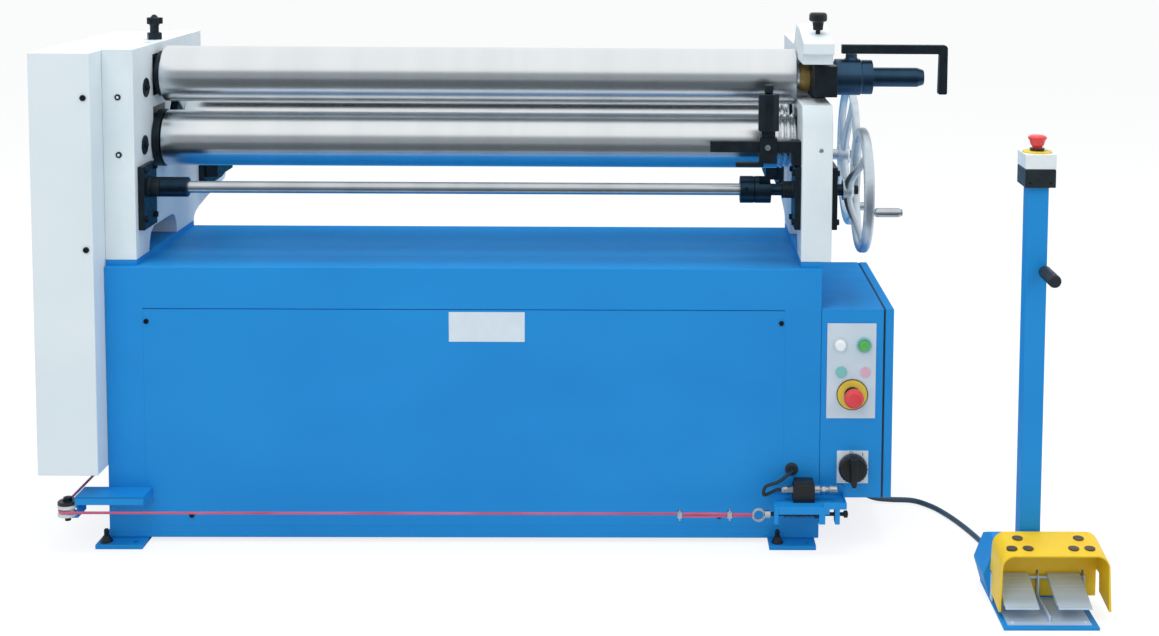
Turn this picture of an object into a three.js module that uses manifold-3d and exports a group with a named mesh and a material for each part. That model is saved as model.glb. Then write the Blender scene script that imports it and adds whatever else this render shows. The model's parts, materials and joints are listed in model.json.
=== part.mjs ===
// Electric three-roll slip roll bending machine with a two-pedal foot station.
// Millimetres, +X to the right along the rolls, +Y to the back, +Z up.
import * as THREE from "three";
import { mergeVertices } from "three/addons/utils/BufferGeometryUtils.js";
import Module from "manifold-3d";

const wasm = await Module();
wasm.setup();

// Fits and facets
const GAP = 0.3;
const WELD = 1e-4;
const SHEET = 3;
const FACETS = [[4, 6], [9, 8], [22, 12], [45, 16], [Infinity, 28]];
const ROLL_SIDES = 28;

// Cabinet, feet and side frames
const SIDE = 64;
const SPAN = 1383;
const PAD = 12;
const FRAME_OVERHANG = 20;
const CABINET = { width: SIDE + SPAN + SIDE - FRAME_OVERHANG, depth: 431, bottom: 10, top: 587, frontWall: 6 };
const PANEL = {
  left: 78, right: CABINET.width - 77, bottom: 36, top: 498, lip: 46, seam: 0.5, slit: 2,
  screwInset: 7, screwZ: 472, bolts: [173, CABINET.width - 211], boltZ: 58,
};
const FOOT = {
  width: 98, left: -17, right: CABINET.width - 107, front: -40, back: CABINET.depth + 41,
  stud: 8, cone: 15, coneTop: 36, inset: 18, hole: 6,
};
const FRAME = {
  leftInner: SIDE, rightInner: SIDE + SPAN, rightOuter: SIDE + SPAN + SIDE,
  front: 12, base: CABINET.top + PAD, top: CABINET.top + PAD + 439, web: 12,
};

// Rolls, the blocks that carry them and how far they travel
const NIP = 20;
const ROLL = {
  radius: 60, left: SIDE + 18, right: FRAME.rightInner - 2, y: 182, lowerZ: FRAME.base + 232, journal: 30,
  leftEnd: SIDE - 40, rightEnd: FRAME.rightInner + 40, chamfer: 2,
};
const UPPER_Z = ROLL.lowerZ + 2 * ROLL.radius + NIP;
const GROOVES = [{ inset: 36, r: 3 }, { inset: 24, r: 4 }, { inset: 10, r: 5 }];
const LIFT = {
  up: 19.5, down: 4, spare: 4, halfWidth: 41, halfHeight: 48, stem: 14, stemEnd: FRAME.base + 101,
};
const SWING = { x: 41, halfX: 21, halfY: 34, halfZ: 40, windowY: 40, windowZ: 44, pin: 8 };
const CAP = { from: SIDE + 1, to: SIDE + 16, lower: 62, upper: 49, neck: 36 };
const BEND = {
  y: 345, z: ROLL.lowerZ + 7, angle: 35, up: 50, down: 70,
  halfLength: 42, halfWidth: 35, stem: 12, stemLength: 120,
};
const OPENING = {
  floor: UPPER_Z - 44, ceiling: UPPER_Z + 41, back: 243, chamfer: 44, lip: 22,
  armBottom: UPPER_Z + 64, armTop: UPPER_Z + 88,
};
const BEARING = {
  left: FRAME.rightInner + 28, right: FRAME.rightInner + 77, front: 62, back: OPENING.back - 1, half: 33,
  rise: 2, footFrom: 151, footRight: FRAME.rightOuter - 2, bushLeft: FRAME.rightInner + 7, bush: 31,
};
const RELEASE = {
  from: BEARING.right + 7, body: 39.5, length: 57, collar: 24, tail: 21, tailLength: 113,
  barRise: 61, barFrom: 18, barTo: 247, bar: 11.5, gripDrop: 37, stud: 13,
};

// Gear train on the left: both roll gears, the upper one's reversing idler, the large gear and the pinion
const GEAR = {
  module: 5, rollTeeth: 20, idlerTeeth: 36, bullTeeth: 50, pinionTeeth: 20, bullAngle: -47.5,
  left: -62, right: -32, shaft: 20, hub: 8, tipShare: 0.1, rootShare: 0.33,
};
const COVER = { left: -124, front: -60, back: 476, bottom: 164, top: FRAME.top - 1, wall: 2 };

// Adjusting shafts and handwheels
const FRONT_AXIS = { y: 72, z: FRAME.base + 143 };
const REAR_AXIS = { y: 560, z: FRAME.base + 142 };
const SHAFT = {
  radius: 12.5, leftEnd: SIDE - 26, sleeve: 21, sleeveLength: 56, rightEnd: FRAME.rightInner - 101,
};
const COUPLING = { radius: 28.5, overlap: 25, seam: 30, length: 65 };
const ADJUSTER = {
  thick: 13, front: 28, back: 115, bottom: FRAME.base + 65, top: FRAME.base + 197,
  boss: 21, bossLength: 24, inset: 14,
};
const GEARBOX = {
  front: 472, back: 640, split: 600, bottom: FRAME.base + 68, ledge: FRAME.base + 149, top: FRAME.base + 205,
  deep: 42, thin: 12, boss: 26, rim: 10, cover: 24,
};
const FRONT_WHEEL = {
  hubFrom: FRAME.rightOuter + 27, hubTo: FRAME.rightOuter + 51, rimX: FRAME.rightOuter + 69,
  rim: 122, rimR: 12, hub: 21, spoke: 22, grip: 9.5, gripLength: 53,
};
const REAR_WHEEL = {
  hubFrom: FRAME.rightOuter + 74, hubTo: FRAME.rightOuter + 102, rimX: FRAME.rightOuter + 100,
  rim: 161, rimR: 10, hub: 24, spoke: 24, grip: 10, gripLength: 60,
};
const GRIP_PIN = 4.5;

// Top knobs and edge guide
const KNOB = { x: 34, y: 256, stem: 6, nut: 16.5, nutHeight: 15, neck: 9.5, head: 13, lobes: 5 };
const CLAMP = { x: FRAME.rightInner + 36, y: 80, screw: 5, slopeZ: UPPER_Z + 102 };
const PLUGS = [{ y: 94, z: UPPER_Z - 21 }, { y: 79, z: ROLL.lowerZ - 1 }];
const GUIDE = {
  left: FRAME.rightInner - 191, y: 40, bottom: ROLL.lowerZ - 4, top: ROLL.lowerZ + 19, thick: 12,
  x: FRAME.rightInner - 69, sleeve: 23, sleeveBottom: ROLL.lowerZ + 41, sleeveTop: ROLL.lowerZ + 119, stud: 5,
};

// Electrical box
const EBOX = {
  left: CABINET.width + GAP, right: CABINET.width + 134, depth: 440, bottom: 98, top: 503,
  door: 18, doorWall: 2, knuckle: 6, pin: 2.5, leaf: 30, knuckleLength: 22, lock: 9,
};
const PLATE = {
  left: EBOX.left + 12, right: EBOX.right - 19, bottom: 270, top: 473, lampX: 39, startX: 89, buttonZ: 427,
  discX: 42, discX2: 93, discZ: 369, stopX: 66, stopZ: 321, bezel: 11,
};
const SWITCH = {
  x: EBOX.left + 69, z: 165, half: 33, knob: 30, knobFront: -22, pointer: 34, pointerFront: -36,
};

// Trip wire along the front and its limit switch
const WIRE = {
  radius: 2.75, y: -60, z: 86, pulleyX: -70, groove: 14, pulley: 20, anchorY: CABINET.depth - 16,
  end: CABINET.width - 295,
};
const TRIP = {
  ringX: CABINET.width - 131, ring: 12, ringWire: 2.7, rod: 4, rodTo: CABINET.width + 54, shelfZ: 105,
  left: CABINET.width - 100, right: CABINET.width + 50, collar: 9, clampX: CABINET.width - 192, travel: 6,
};
const SPRING = { turns: 8, steps: 8, radius: 6.5, wire: 1.1 };
const LIMIT = {
  left: CABINET.width - 59, right: CABINET.width - 14, y: -34, z: 128, gland: 9, glandLength: 24,
  plungerTo: CABINET.width + 34,
};
const GROMMET = { x: CABINET.width - 59, z: 160, radius: 14, proud: 4, bore: 4 };
const LEAD = 3.5;

// Pedal station, standing beside the machine
const STATION = { left: 1795, right: 1975, front: -410, back: -188, plate: 6, tread: 8 };
const HOUSING = { bulge: 18, waist: 52, top: 116, shoulder: 10 };
const GUARD = {
  front: -370, back: -282, left: 1797, right: 2003, top: 127, foot: 18, corner: 26, wall: 3, flare: 4,
  slope: 0.136, arch: 54, hole: 10, holeGroups: [0.1, 0.67], holes: [[0.11, 0.72], [0.02, 0.3], [0.17, 0.3]],
};
const HOUSING_FRONT = GUARD.back + GAP;
const PEDAL = {
  lefts: [1803, 1903], width: 64, front: -386, frontZ: 32, backZ: 60, hingeY: -291, hingeZ: 52,
  thick: 3, pin: 3, barrel: 6, skirt: 9,
};
const POST = {
  x: 1872, y: -255, width: 40, wall: 3, top: 812,
  handleX: 16, handleZ: 650, handle: 12.5, handleLength: 92, handleNeck: 6,
};
const STOP_BOX = { halfX: 29.5, halfY: 34, height: 64, seam: 36, disc: 27, cap: 18, stem: 9 };
const CABLE = {
  radius: 5.75, glandX: EBOX.left + 109, glandY: 231, gland: 11, glandEnd: 78, floor: 6.3,
  entryX: POST.x - 22, entryZ: 20,
};

const RIGHT_END = GUARD.right + GUARD.flare;
const REAR_END = REAR_AXIS.y + REAR_WHEEL.rim + REAR_WHEEL.rimR;
const ORIGIN = new THREE.Vector3(-(COVER.left + RIGHT_END) / 2, -(STATION.front + REAR_END) / 2, 0);

// Finishes
function finish(color, roughness, metalness = 0) {
  return new THREE.MeshStandardMaterial({ color, roughness, metalness });
}

const FINISH = {
  blue: finish(0x1f86cb, 0.45),
  white: finish(0xdde6ea, 0.5),
  blackOxide: finish(0x1f2a30, 0.45, 0.7),
  polishedSteel: finish(0xc9ced2, 0.22, 0.95),
  gearSteel: finish(0x8b9196, 0.4, 0.9),
  castAluminium: finish(0xb9bec1, 0.42, 0.85),
  blackPlastic: finish(0x191b1d, 0.4),
  yellow: finish(0xe8d24a, 0.45),
  red: finish(0xd8343c, 0.35),
  green: finish(0x3fae5a, 0.35),
  plateGrey: finish(0xb9c9d2, 0.4),
  galvanised: finish(0xb5ccd8, 0.4, 0.7),
  wireRed: finish(0xc0506a, 0.45),
  cable: finish(0x4a6070, 0.6),
  motorGrey: finish(0x6d7479, 0.5, 0.3),
};

// Shape helpers
const sidesFor = (radius) => FACETS.find(([limit]) => radius < limit)[1];

function block(x0, x1, y0, y1, z0, z1) {
  return new THREE.BoxGeometry(x1 - x0, y1 - y0, z1 - z0)
    .translate((x0 + x1) / 2, (y0 + y1) / 2, (z0 + z1) / 2);
}

function shapeOf(points) {
  return new THREE.Shape(points.map(([a, b]) => new THREE.Vector2(a, b)));
}

// Prism of a (y, z) outline from x0 to x1.
function prismX(outline, x0, x1) {
  const shape = Array.isArray(outline) ? shapeOf(outline) : outline;
  const basis = new THREE.Matrix4().makeBasis(
    new THREE.Vector3(0, 1, 0), new THREE.Vector3(0, 0, 1), new THREE.Vector3(1, 0, 0));
  return new THREE.ExtrudeGeometry(shape, { depth: x1 - x0, bevelEnabled: false, curveSegments: 6 })
    .applyMatrix4(basis).translate(x0, 0, 0);
}

// Prism of an (x, z) outline from y0 to y1.
function prismY(outline, y0, y1) {
  const shape = Array.isArray(outline) ? shapeOf(outline) : outline;
  return new THREE.ExtrudeGeometry(shape, { depth: y1 - y0, bevelEnabled: false, curveSegments: 6 })
    .rotateX(Math.PI / 2).translate(0, y1, 0);
}

// Prism of an (x, y) outline from z0 to z1.
function prismZ(outline, z0, z1) {
  const shape = Array.isArray(outline) ? shapeOf(outline) : outline;
  return new THREE.ExtrudeGeometry(shape, { depth: z1 - z0, bevelEnabled: false, curveSegments: 6 })
    .translate(0, 0, z0);
}

// Solid of revolution of [radius, along] pairs about the axis "x", "y" or "z" through the point a, b
// of the plane across it.
function turned(axis, profile, a = 0, b = 0, sides = sidesFor(Math.max(...profile.map(([r]) => r)))) {
  const points = profile.map(([radius, along]) => new THREE.Vector2(radius, along));
  const body = new THREE.LatheGeometry(points, sides);
  if (axis === "x") return body.rotateZ(-Math.PI / 2).translate(0, a, b);
  if (axis === "y") return body.translate(a, 0, b);
  return body.rotateX(Math.PI / 2).translate(a, b, 0);
}

const rod = (axis, radius, from, to, a, b, sides) =>
  turned(axis, [[0, from], [radius, from], [radius, to], [0, to]], a, b, sides);

// Round hole whose flats, not its corners, lie at the radius.
function bore(axis, radius, from, to, a, b, sides = sidesFor(radius)) {
  return rod(axis, radius / Math.cos(Math.PI / sides), from, to, a, b, sides);
}

const tubeStub = (axis, outer, inner, from, to, a, b) =>
  turned(axis, [[inner, from], [outer, from], [outer, to], [inner, to], [inner, from]], a, b);

function sweep(path, radius, sides, steps) {
  const section = new THREE.Shape();
  for (let i = 0; i < sides; i += 1) {
    const angle = (2 * Math.PI * i) / sides;
    section[i ? "lineTo" : "moveTo"](radius * Math.cos(angle), radius * Math.sin(angle));
  }
  return new THREE.ExtrudeGeometry(section, { steps, extrudePath: path, bevelEnabled: false });
}

const vec = (x, y, z) => new THREE.Vector3(x, y, z);

function solidOf(geometry) {
  const bare = geometry.clone();
  bare.deleteAttribute("normal");
  bare.deleteAttribute("uv");
  const welded = mergeVertices(bare, WELD);
  const corners = welded.index.array;
  const kept = [];
  for (let i = 0; i < corners.length; i += 3) {
    const [a, b, c] = [corners[i], corners[i + 1], corners[i + 2]];
    if (a !== b && b !== c && c !== a) kept.push(a, b, c);
  }
  return new wasm.Manifold(new wasm.Mesh({
    numProp: 3,
    vertProperties: new Float32Array(welded.attributes.position.array),
    triVerts: new Uint32Array(kept),
  }));
}

function geometryOf(solid) {
  const mesh = solid.getMesh();
  const geometry = new THREE.BufferGeometry();
  geometry.setAttribute("position", new THREE.BufferAttribute(mesh.vertProperties, 3));
  geometry.setIndex(new THREE.BufferAttribute(mesh.triVerts, 1));
  geometry.computeVertexNormals();
  return geometry;
}

// Joins the first list of shapes and cuts the second list out of it.
function carve(joined, cuts = []) {
  let body = solidOf(joined[0]);
  for (const shape of joined.slice(1)) body = body.add(solidOf(shape));
  for (const shape of cuts) body = body.subtract(solidOf(shape));
  return geometryOf(body);
}

const pitchRadius = (teeth) => (GEAR.module * teeth) / 2;

// Point at two given distances from two others, on the side of the greater y.
function meetingPoint(a, distanceA, b, distanceB) {
  const span = Math.hypot(b.y - a.y, b.z - a.z);
  const along = (distanceA ** 2 - distanceB ** 2 + span ** 2) / (2 * span);
  const across = Math.sqrt(distanceA ** 2 - along ** 2);
  const [uy, uz] = [(b.y - a.y) / span, (b.z - a.z) / span];
  return { y: a.y + along * uy - across * uz, z: a.z + along * uz + across * uy };
}

// Angle of a tooth of the driven gear that puts its gap on the driver's tooth.
function meshedPhase(driver, driven) {
  const line = Math.atan2(driven.z - driver.z, driven.y - driver.y);
  const ahead = ((line - driver.phase) * driver.teeth) / (2 * Math.PI);
  return line + Math.PI - ((0.5 - ahead) * 2 * Math.PI) / driven.teeth;
}

function gearTrain() {
  const { rollTeeth, idlerTeeth, bullTeeth, pinionTeeth, bullAngle } = GEAR;
  const reach = (a, b) => pitchRadius(a) + pitchRadius(b);
  const lower = { y: ROLL.y, z: ROLL.lowerZ, teeth: rollTeeth, phase: 0, shaftEnd: FRAME.web };
  const upper = { y: ROLL.y, z: UPPER_Z, teeth: rollTeeth, shaftEnd: FRAME.web };
  const angle = THREE.MathUtils.degToRad(bullAngle);
  const bullReach = reach(rollTeeth, bullTeeth);
  const bull = {
    y: lower.y + bullReach * Math.cos(angle), z: lower.z + bullReach * Math.sin(angle),
    teeth: bullTeeth, shaftEnd: SIDE / 2,
  };
  const centre = meetingPoint(upper, reach(rollTeeth, idlerTeeth), bull, reach(idlerTeeth, bullTeeth));
  const idler = { ...centre, teeth: idlerTeeth, shaftEnd: FRAME.web };
  const pinion = { y: bull.y, z: bull.z - reach(bullTeeth, pinionTeeth), teeth: pinionTeeth, shaftEnd: 60 };
  bull.phase = meshedPhase(lower, bull);
  idler.phase = meshedPhase(bull, idler);
  upper.phase = meshedPhase(idler, upper);
  pinion.phase = meshedPhase(bull, pinion);
  return { lower, upper, bull, idler, pinion };
}

const TRAIN = gearTrain();
const machine = new THREE.Group();

function place(name, geometry, material) {
  const mesh = new THREE.Mesh(geometry, material);
  mesh.name = name;
  machine.add(mesh);
}

// Cabinet and feet
function cabinetShell() {
  const { width, depth, bottom, top, frontWall } = CABINET;
  const shell = [
    block(0, width, 0, depth, bottom, top),
    block(0, SIDE, FRAME.front, depth - SHEET, top - 1, FRAME.base - GAP),
    block(FRAME.rightInner, width, FRAME.front, depth - SHEET, top - 1, FRAME.base - GAP),
    block(WIRE.pulleyX - WIRE.groove - 12, 1, WIRE.anchorY, WIRE.anchorY + 6, WIRE.z - 14, WIRE.z + 16),
    rod("y", GROMMET.radius, -GROMMET.proud, 1, GROMMET.x, GROMMET.z),
  ];
  const { left, right, lip, seam, slit } = PANEL;
  const cuts = [
    block(SHEET, width - SHEET, frontWall, depth - SHEET, bottom + SHEET, top - SHEET),
    block(left + lip, right - lip, -1, frontWall + 1, PANEL.bottom + lip, PANEL.top - lip),
    block(left - seam, right + seam, -1, SHEET, PANEL.bottom - seam, PANEL.top + slit),
    rod("y", GROMMET.bore, -GROMMET.proud - 1, frontWall + 1, GROMMET.x, GROMMET.z),
    bore("x", GEAR.shaft + GAP, -1, SHEET + 1, TRAIN.pinion.y, TRAIN.pinion.z),
  ];
  return carve(shell, cuts);
}

function frontPanel() {
  const { left, right, screwInset, screwZ, bolts, boltZ } = PANEL;
  const body = [block(left, right, 0, SHEET - GAP, PANEL.bottom, PANEL.top)];
  for (const x of [left + screwInset, right - screwInset]) body.push(rod("y", 5, -2.5, 1, x, screwZ));
  for (const x of bolts) body.push(rod("y", 6, -3, 1, x, boltZ));
  return carve(body);
}

function footBar(left) {
  const { width, front, back, stud, cone, coneTop, inset, hole } = FOOT;
  const body = [block(left, left + width, front, back, 0, CABINET.bottom - GAP)];
  for (const y of [front + inset, back - inset]) {
    body.push(turned("z", [
      [0, CABINET.bottom - 1], [cone, CABINET.bottom - 1], [cone, CABINET.bottom + 8],
      [stud + 1, CABINET.bottom + 18], [stud, coneTop], [0, coneTop],
    ], left + inset, y, 10));
  }
  const holeX = left + width - inset;
  const holes = [front + inset, back - inset].map((y) => rod("z", hole, -1, CABINET.bottom, holeX, y));
  return carve(body, holes);
}

// Side frames
const HEAD = 6;
const RISE = FRAME.top - FRAME.base;
const TAIL_OUTLINE = [
  [508, RISE], [508, RISE - 42], [702, 77], [708, 60], [698, 52], [661, 48], [547, 37],
  [470, 25], [443, 18], [430, 9], [427, 0],
  [296, 0], [292, 23], [280, 41], [260, 48], [131, 48], [110, 37], [100, 16], [96, 0],
].map(([y, height]) => [y, FRAME.base + height]);

function slopeTurned(shape) {
  return shape.rotateX(THREE.MathUtils.degToRad(-BEND.angle)).translate(0, BEND.y, BEND.z);
}

// Windows and bores that both frames share, between the x positions of the pocket's floor and mouth.
function frameCuts(from, to, stemX) {
  const { halfWidth, halfHeight, up, down, spare, stem, stemEnd } = LIFT;
  const room = BEND.halfLength + spare;
  const bendHalf = BEND.halfWidth + GAP;
  return [
    block(from, to, ROLL.y - halfWidth - GAP, ROLL.y + halfWidth + GAP,
      ROLL.lowerZ - halfHeight - down - spare, ROLL.lowerZ + halfHeight + up + spare),
    rod("z", stem + 1, stemEnd - down - spare, ROLL.lowerZ, stemX, ROLL.y),
    slopeTurned(block(from, to, -room - BEND.up, room + BEND.down, -bendHalf, bendHalf)),
    slopeTurned(rod("y", BEND.stem + 1, 0, BEND.stemLength + BEND.down + spare, stemX, 0)),
  ];
}

function frameLeft() {
  const { leftInner, front, base, top, web } = FRAME;
  const carriers = [TRAIN.upper, TRAIN.lower, TRAIN.idler, TRAIN.bull];
  const boss = GEAR.shaft + 12;
  const body = [
    prismX([[front, base], [front, top], ...TAIL_OUTLINE].reverse(), 0, leftInner),
    ...carriers.map(({ y, z }) => rod("x", boss, GEAR.right + GEAR.hub + 2, 1, y, z)),
    ...[UPPER_Z - 32, ROLL.lowerZ - 12].map((z) => rod("y", HEAD, front - 2.5, front + 1, leftInner / 2, z)),
    ...PLUGS.map(({ y, z }) => rod("x", 20, leftInner - 1, leftInner + 1.5, y, z)),
    ...PLUGS.map(({ y, z }) => rod("x", HEAD, leftInner, leftInner + 3, y, z)),
    rod("x", HEAD, leftInner - 1, leftInner + 3, 440, UPPER_Z + 26),
  ];
  const cuts = [
    ...frameCuts(web, leftInner + 1, SWING.x),
    block(web, leftInner + 1, ROLL.y - SWING.windowY, ROLL.y + SWING.windowY,
      UPPER_Z - SWING.windowZ, UPPER_Z + SWING.windowZ),
    bore("z", SWING.pin + GAP, ROLL.lowerZ, top + 1, SWING.x, ROLL.y),
    ...carriers.map(({ y, z, shaftEnd }) => bore("x", GEAR.shaft + GAP, GEAR.right, shaftEnd + 1, y, z)),
    bore("x", SHAFT.radius + GAP, SHAFT.leftEnd - 2, leftInner + 1, FRONT_AXIS.y, FRONT_AXIS.z),
    bore("x", SHAFT.radius + GAP, SHAFT.leftEnd - 2, leftInner + 1, REAR_AXIS.y, REAR_AXIS.z),
    bore("z", KNOB.stem + GAP, top - 30, top + 1, KNOB.x, KNOB.y),
  ];
  return carve(body, cuts);
}

function frameRight() {
  const { rightInner, rightOuter, front, base, web } = FRAME;
  const { floor, ceiling, back, chamfer, lip, armBottom, armTop } = OPENING;
  const outline = [
    [front, base], [front, floor - chamfer], [front + lip, floor], [back, floor], [back, ceiling],
    [front + lip, ceiling], [front + lip - 4, armBottom - 2], [front, armBottom], [front, armTop],
    [125, armTop + 24], [190, armTop + 27], [250, FRAME.top], ...TAIL_OUTLINE,
  ];
  const cuts = [
    ...frameCuts(rightInner - 1, rightOuter - web, rightOuter - SWING.x),
    rod("x", SHAFT.radius + 2, rightInner - 1, rightOuter + 1, FRONT_AXIS.y, FRONT_AXIS.z),
    bore("x", SHAFT.radius + GAP, rightInner - 1, rightOuter + 1, REAR_AXIS.y, REAR_AXIS.z),
    bore("z", CLAMP.screw + GAP, ceiling - 1, armTop + 40, CLAMP.x, CLAMP.y),
    rod("y", 5, front - 1, front + 14, rightInner + 40, ROLL.lowerZ + 3),
  ];
  return carve([prismX([...outline].reverse(), rightInner, rightOuter)], cuts);
}

// Gears and their cover
function gearDisc({ teeth, phase, y, z, shaftEnd }) {
  const { module, left, right, shaft, hub, tipShare, rootShare } = GEAR;
  const pitch = pitchRadius(teeth);
  const step = (2 * Math.PI) / teeth;
  const flank = [[pitch - 1.25 * module, rootShare], [pitch + module, tipShare]];
  const outline = [];
  for (let i = 0; i < teeth; i += 1) {
    const centre = phase + i * step;
    for (const [radius, share] of flank) outline.push([radius, centre - share * step]);
    for (const [radius, share] of [...flank].reverse()) outline.push([radius, centre + share * step]);
  }
  const disc = prismX(outline.map(([r, a]) => [y + r * Math.cos(a), z + r * Math.sin(a)]), left, right);
  return carve([
    disc,
    turned("x", [[0, left - hub], [shaft, left - hub], [shaft, shaftEnd], [0, shaftEnd]], y, z),
  ]);
}

function gearCover() {
  const { left, front, back, bottom, top, wall } = COVER;
  const body = [
    block(left, -GAP, front, back, bottom, top),
    rod("y", HEAD, front - 3, front + 1, -14, UPPER_Z - 25),
    rod("y", HEAD, front - 3, front + 1, -14, FRAME.base + 36),
  ];
  return carve(body, [block(left + wall, 1, front + wall, back - wall, bottom + wall, top - wall)]);
}

// Worm reducer on the cabinet's left wall with its motor behind it.
function gearMotor() {
  const { y, z, shaftEnd } = TRAIN.pinion;
  const motorZ = z - 75;
  const body = [
    block(SHEET + GAP, 24, y - 85, y + 85, z - 165, z + 50),
    block(20, 190, y - 66, y + 66, z - 150, z + 44),
    rod("x", 58, 189, 205, y, motorZ),
    turned("x", [[0, 204], [66, 204], [76, 214], [76, 420], [66, 424], [60, 470], [0, 470]], y, motorZ, 16),
    block(250, 340, y - 88, y - 55, motorZ - 40, motorZ + 40),
  ];
  return carve(body, [bore("x", GEAR.shaft + GAP, 0, shaftEnd + 2, y, z)]);
}

// Rolls and the blocks that carry them
function groovedRoll(y, z, sides) {
  const { radius, left, right, leftEnd, rightEnd, journal, chamfer } = ROLL;
  return turned("x", [
    [0, leftEnd], [journal, leftEnd], [journal, left], [radius - chamfer, left], [radius, left + chamfer],
    ...GROOVES.flatMap(({ inset, r }) => [
      [radius, right - inset - r], [radius - r, right - inset], [radius, right - inset + r],
    ]),
    [radius, right - chamfer], [radius - chamfer, right], [journal, right], [journal, rightEnd], [0, rightEnd],
  ], y, z, sides);
}

function pivotBlock() {
  const { x, halfX, halfY, halfZ, pin } = SWING;
  const body = [
    block(x - halfX, x + halfX, ROLL.y - halfY, ROLL.y + halfY, UPPER_Z - halfZ, UPPER_Z + halfZ),
    turned("x", [
      [0, x], [CAP.neck, x], [CAP.neck, CAP.from + 4],
      [CAP.upper, CAP.from + 4], [CAP.upper, CAP.to], [0, CAP.to],
    ], ROLL.y, UPPER_Z),
    rod("z", pin, ROLL.lowerZ + LIFT.halfHeight + LIFT.up + LIFT.spare + 2, FRAME.top - 2, x, ROLL.y),
  ];
  return carve(body, [bore("x", ROLL.journal + GAP, ROLL.leftEnd - GAP, CAP.to + 1, ROLL.y, UPPER_Z)]);
}

function liftBlock(centre, capped) {
  const [x0, x1] = [centre - SWING.halfX, centre + SWING.halfX];
  const { halfWidth, halfHeight, stem, stemEnd } = LIFT;
  const { y, lowerZ } = ROLL;
  const body = [
    block(x0, x1, y - halfWidth, y + halfWidth, lowerZ - halfHeight, lowerZ + halfHeight),
    rod("z", stem, stemEnd, lowerZ, centre, y),
  ];
  if (capped) {
    body.push(rod("x", CAP.neck, x1 - 1, CAP.from + 1, y, lowerZ));
    body.push(rod("x", CAP.lower, CAP.from, CAP.to, y, lowerZ));
  }
  const [from, to] = capped ? [ROLL.leftEnd - GAP, CAP.to + 1] : [x0 - 1, ROLL.rightEnd + GAP];
  return carve(body, [bore("x", ROLL.journal + GAP, from, to, y, lowerZ)]);
}

function bendBlock(centre) {
  const { halfLength, halfWidth, stem, stemLength } = BEND;
  const [x0, x1] = [centre - SWING.halfX, centre + SWING.halfX];
  const body = [
    slopeTurned(block(x0, x1, -halfLength, halfLength, -halfWidth, halfWidth)),
    slopeTurned(rod("y", stem, 0, stemLength, centre, 0)),
  ];
  return carve(body, [bore("x", ROLL.journal + GAP, x0 - 1, x1 + 1, BEND.y, BEND.z)]);
}

function bearingBlock() {
  const { left, right, front, back, half, rise, footFrom, footRight, bushLeft, bush } = BEARING;
  const middle = UPPER_Z + rise;
  const body = [
    block(left, right, front, back, middle - half, middle + half),
    block(left + 4, footRight, footFrom, back, OPENING.floor + GAP, middle),
    rod("x", bush, bushLeft, left + 1, ROLL.y, UPPER_Z),
    rod("x", bush + 4, right - 1, right + 4, ROLL.y, UPPER_Z),
  ];
  return carve(body, [bore("x", ROLL.journal - 4 + GAP, bushLeft - 1, right + 5, ROLL.y, UPPER_Z)]);
}

// The upper roll's right journal is thinner, so that it passes the bush and the release sleeve.
function upperRoll() {
  const { radius, left, right, leftEnd, journal, chamfer } = ROLL;
  const thin = journal - 4;
  const end = RELEASE.from + RELEASE.length + RELEASE.collar / 2;
  return turned("x", [
    [0, leftEnd], [journal, leftEnd], [journal, left], [radius - chamfer, left], [radius, left + chamfer],
    [radius, right - chamfer], [radius - chamfer, right], [thin, right], [thin, end], [0, end],
  ], ROLL.y, UPPER_Z, ROLL_SIDES);
}

function releaseSleeve() {
  const { from, body, length, collar, tail, tailLength, barRise, barFrom, barTo, bar, gripDrop, stud } = RELEASE;
  const collarFrom = from + length;
  const collarTo = collarFrom + collar;
  const tailTo = collarTo + tailLength;
  const [barZ, gripX] = [UPPER_Z + barRise, from + barTo - bar];
  const parts = [
    turned("x", [
      [0, from], [body, from], [body, collarFrom - 1], [body - 3, collarFrom], [body - 2, collarFrom + 2],
      [body - 2, collarTo], [tail, collarTo], [tail, tailTo - 15], [tail - 5, tailTo], [0, tailTo],
    ], ROLL.y, UPPER_Z),
    rod("x", bar, from + barFrom - 4, gripX, ROLL.y, barZ),
    rod("z", bar, UPPER_Z - gripDrop, barZ, gripX, ROLL.y),
    new THREE.SphereGeometry(bar, 16, 8).translate(gripX, ROLL.y, barZ),
    rod("z", stud, UPPER_Z + body - 4, barZ, from + 2 * barFrom, ROLL.y),
  ];
  const boreEnd = collarFrom + collar / 2 + 2;
  return carve(parts, [bore("x", ROLL.journal - 4 + GAP, from - 1, boreEnd, ROLL.y, UPPER_Z)]);
}

// Adjusting shafts and handwheels
function boltHeads(x0, x1) {
  const { front, back, bottom, top, inset } = ADJUSTER;
  const heads = [];
  for (const y of [front + inset, back - inset]) {
    for (const z of [bottom + inset, top - inset]) heads.push(rod("x", HEAD, x0, x1, y, z, 6));
  }
  return heads;
}

function adjusterLeft() {
  const { thick, front, back, bottom, top, boss, bossLength } = ADJUSTER;
  const face = FRAME.leftInner + thick;
  const body = [
    block(FRAME.leftInner + GAP, face, front, back, bottom - 7, top - 5),
    rod("x", boss, face - 1, face + bossLength - GAP, FRONT_AXIS.y, FRONT_AXIS.z),
    ...boltHeads(face - 1, face + 5),
  ];
  return carve(body, [bore("x", SHAFT.radius + GAP, SIDE - 1, face + bossLength, FRONT_AXIS.y, FRONT_AXIS.z)]);
}

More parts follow.
